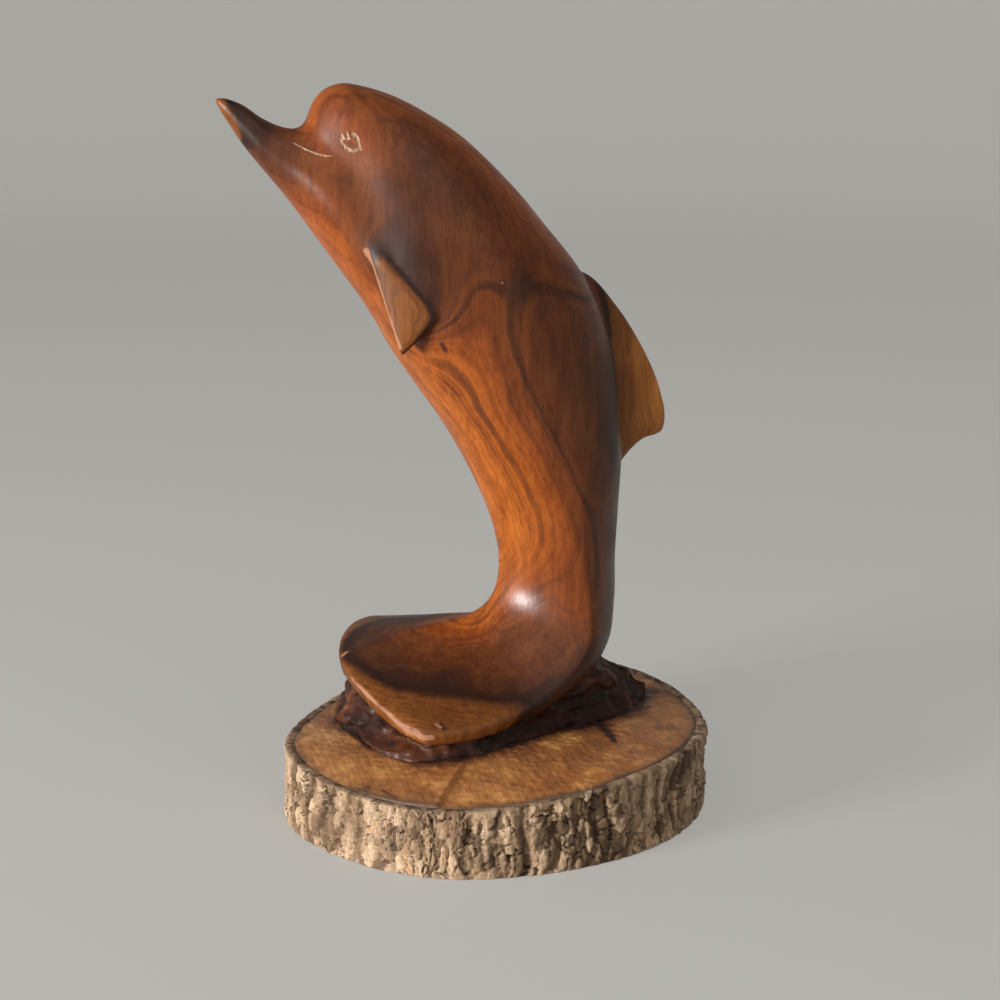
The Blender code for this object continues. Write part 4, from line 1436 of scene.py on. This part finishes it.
def camera():
    data = bpy.data.cameras.new("camera")
    data.lens = LENS
    data.sensor_width = SENSOR
    made = linked("camera", data)
    made.location = CAMERA_PLACE
    made.rotation_euler = (math.pi / 2 - CAMERA_DIP, 0.0, -CAMERA_TURN)
    bpy.context.scene.camera = made


Lamp = namedtuple("Lamp", "place aim power width height")

# Soft light from a window low on the left, and from the sky above the camera
WINDOW = Lamp((-1.80, -0.60, 0.30), (-0.02, 0.0, 0.17), 58.0, 0.60, 0.50)
SKY = Lamp((-0.1, -1.1, 1.4), (0.0, 0.0, 0.15), 12.0, 2.2, 2.2)


def light(name, lamp):
    data = bpy.data.lights.new(name, "AREA")
    data.shape = "RECTANGLE"
    data.energy = lamp.power
    data.size = lamp.width
    data.size_y = lamp.height
    made = linked(name, data)
    made.location = lamp.place
    aim = Vector(lamp.aim) - Vector(lamp.place)
    made.rotation_euler = aim.to_track_quat("-Z", "Y").to_euler()


# A round pale sweep: flat floor, then a curve up to a low wall
FLOOR_RADIUS = 2.3
SWEEP_RADIUS = 1.0
FLOOR_COLOUR = (0.60, 0.585, 0.555)
FLOOR_ROUGHNESS = 0.8

# Colour and share of the floor's own glow
PALE = (0.50, 0.485, 0.455)
GLOW_SHARE = 0.55


def floor():
    mesh = bmesh.new()
    profile = [Vector((FLOOR_RADIUS * k / 4, 0, 0)) for k in range(5)]
    for k in range(1, 17):
        turn = math.pi / 2 * k / 16
        profile.append(Vector((FLOOR_RADIUS + SWEEP_RADIUS * math.sin(turn), 0,
                               SWEEP_RADIUS * (1 - math.cos(turn)))))
    verts = [mesh.verts.new(p) for p in profile]
    edges = [mesh.edges.new(pair) for pair in zip(verts, verts[1:])]
    bmesh.ops.spin(mesh, geom=verts + edges, cent=(0, 0, 0), axis=(0, 0, 1),
                   angle=2 * math.pi, steps=96)
    bmesh.ops.remove_doubles(mesh, verts=mesh.verts, dist=0.0001)
    bmesh.ops.recalc_face_normals(mesh, faces=mesh.faces)
    made = to_object(mesh, "floor")
    made.data.shade_smooth()
    material, recipe, shader = new_material("pale_floor")
    recipe.put(shader.inputs["Base Color"], FLOOR_COLOUR)
    recipe.put(shader.inputs["Roughness"], FLOOR_ROUGHNESS)
    rays = recipe.node("ShaderNodeLightPath").outputs
    seen = recipe.math("MAXIMUM", rays["Is Camera Ray"], rays["Is Glossy Ray"])
    seen = recipe.math("MAXIMUM", seen, rays["Is Transmission Ray"])
    glow = recipe.node("ShaderNodeEmission", PALE, 1.0)
    mix = recipe.node("ShaderNodeMixShader", recipe.times(seen, GLOW_SHARE))
    recipe.put(mix.inputs[1], shader.outputs[0])
    recipe.put(mix.inputs[2], glow.outputs[0])
    output = material.node_tree.nodes["Material Output"]
    recipe.put(output.inputs["Surface"], mix.outputs[0])
    made.data.materials.append(material)


# Grey of the room's light, and its strength
ROOM_GREY = (0.60, 0.60, 0.59, 1.0)
ROOM_STRENGTH = 0.36


def room():
    floor()
    light("window", WINDOW)
    light("sky", SKY)
    world = bpy.data.worlds.new("room")
    world.use_nodes = True
    bpy.context.scene.world = world
    background = world.node_tree.nodes["Background"].inputs
    background["Color"].default_value = ROOM_GREY
    background["Strength"].default_value = ROOM_STRENGTH
    bpy.context.scene.view_settings.view_transform = "Standard"


camera()
room()
dolphin(varnished_wood(), fresh_cut())
mound(gouged_wood())
sawn_slice(sawn_top_wood())
bark(dry_bark())
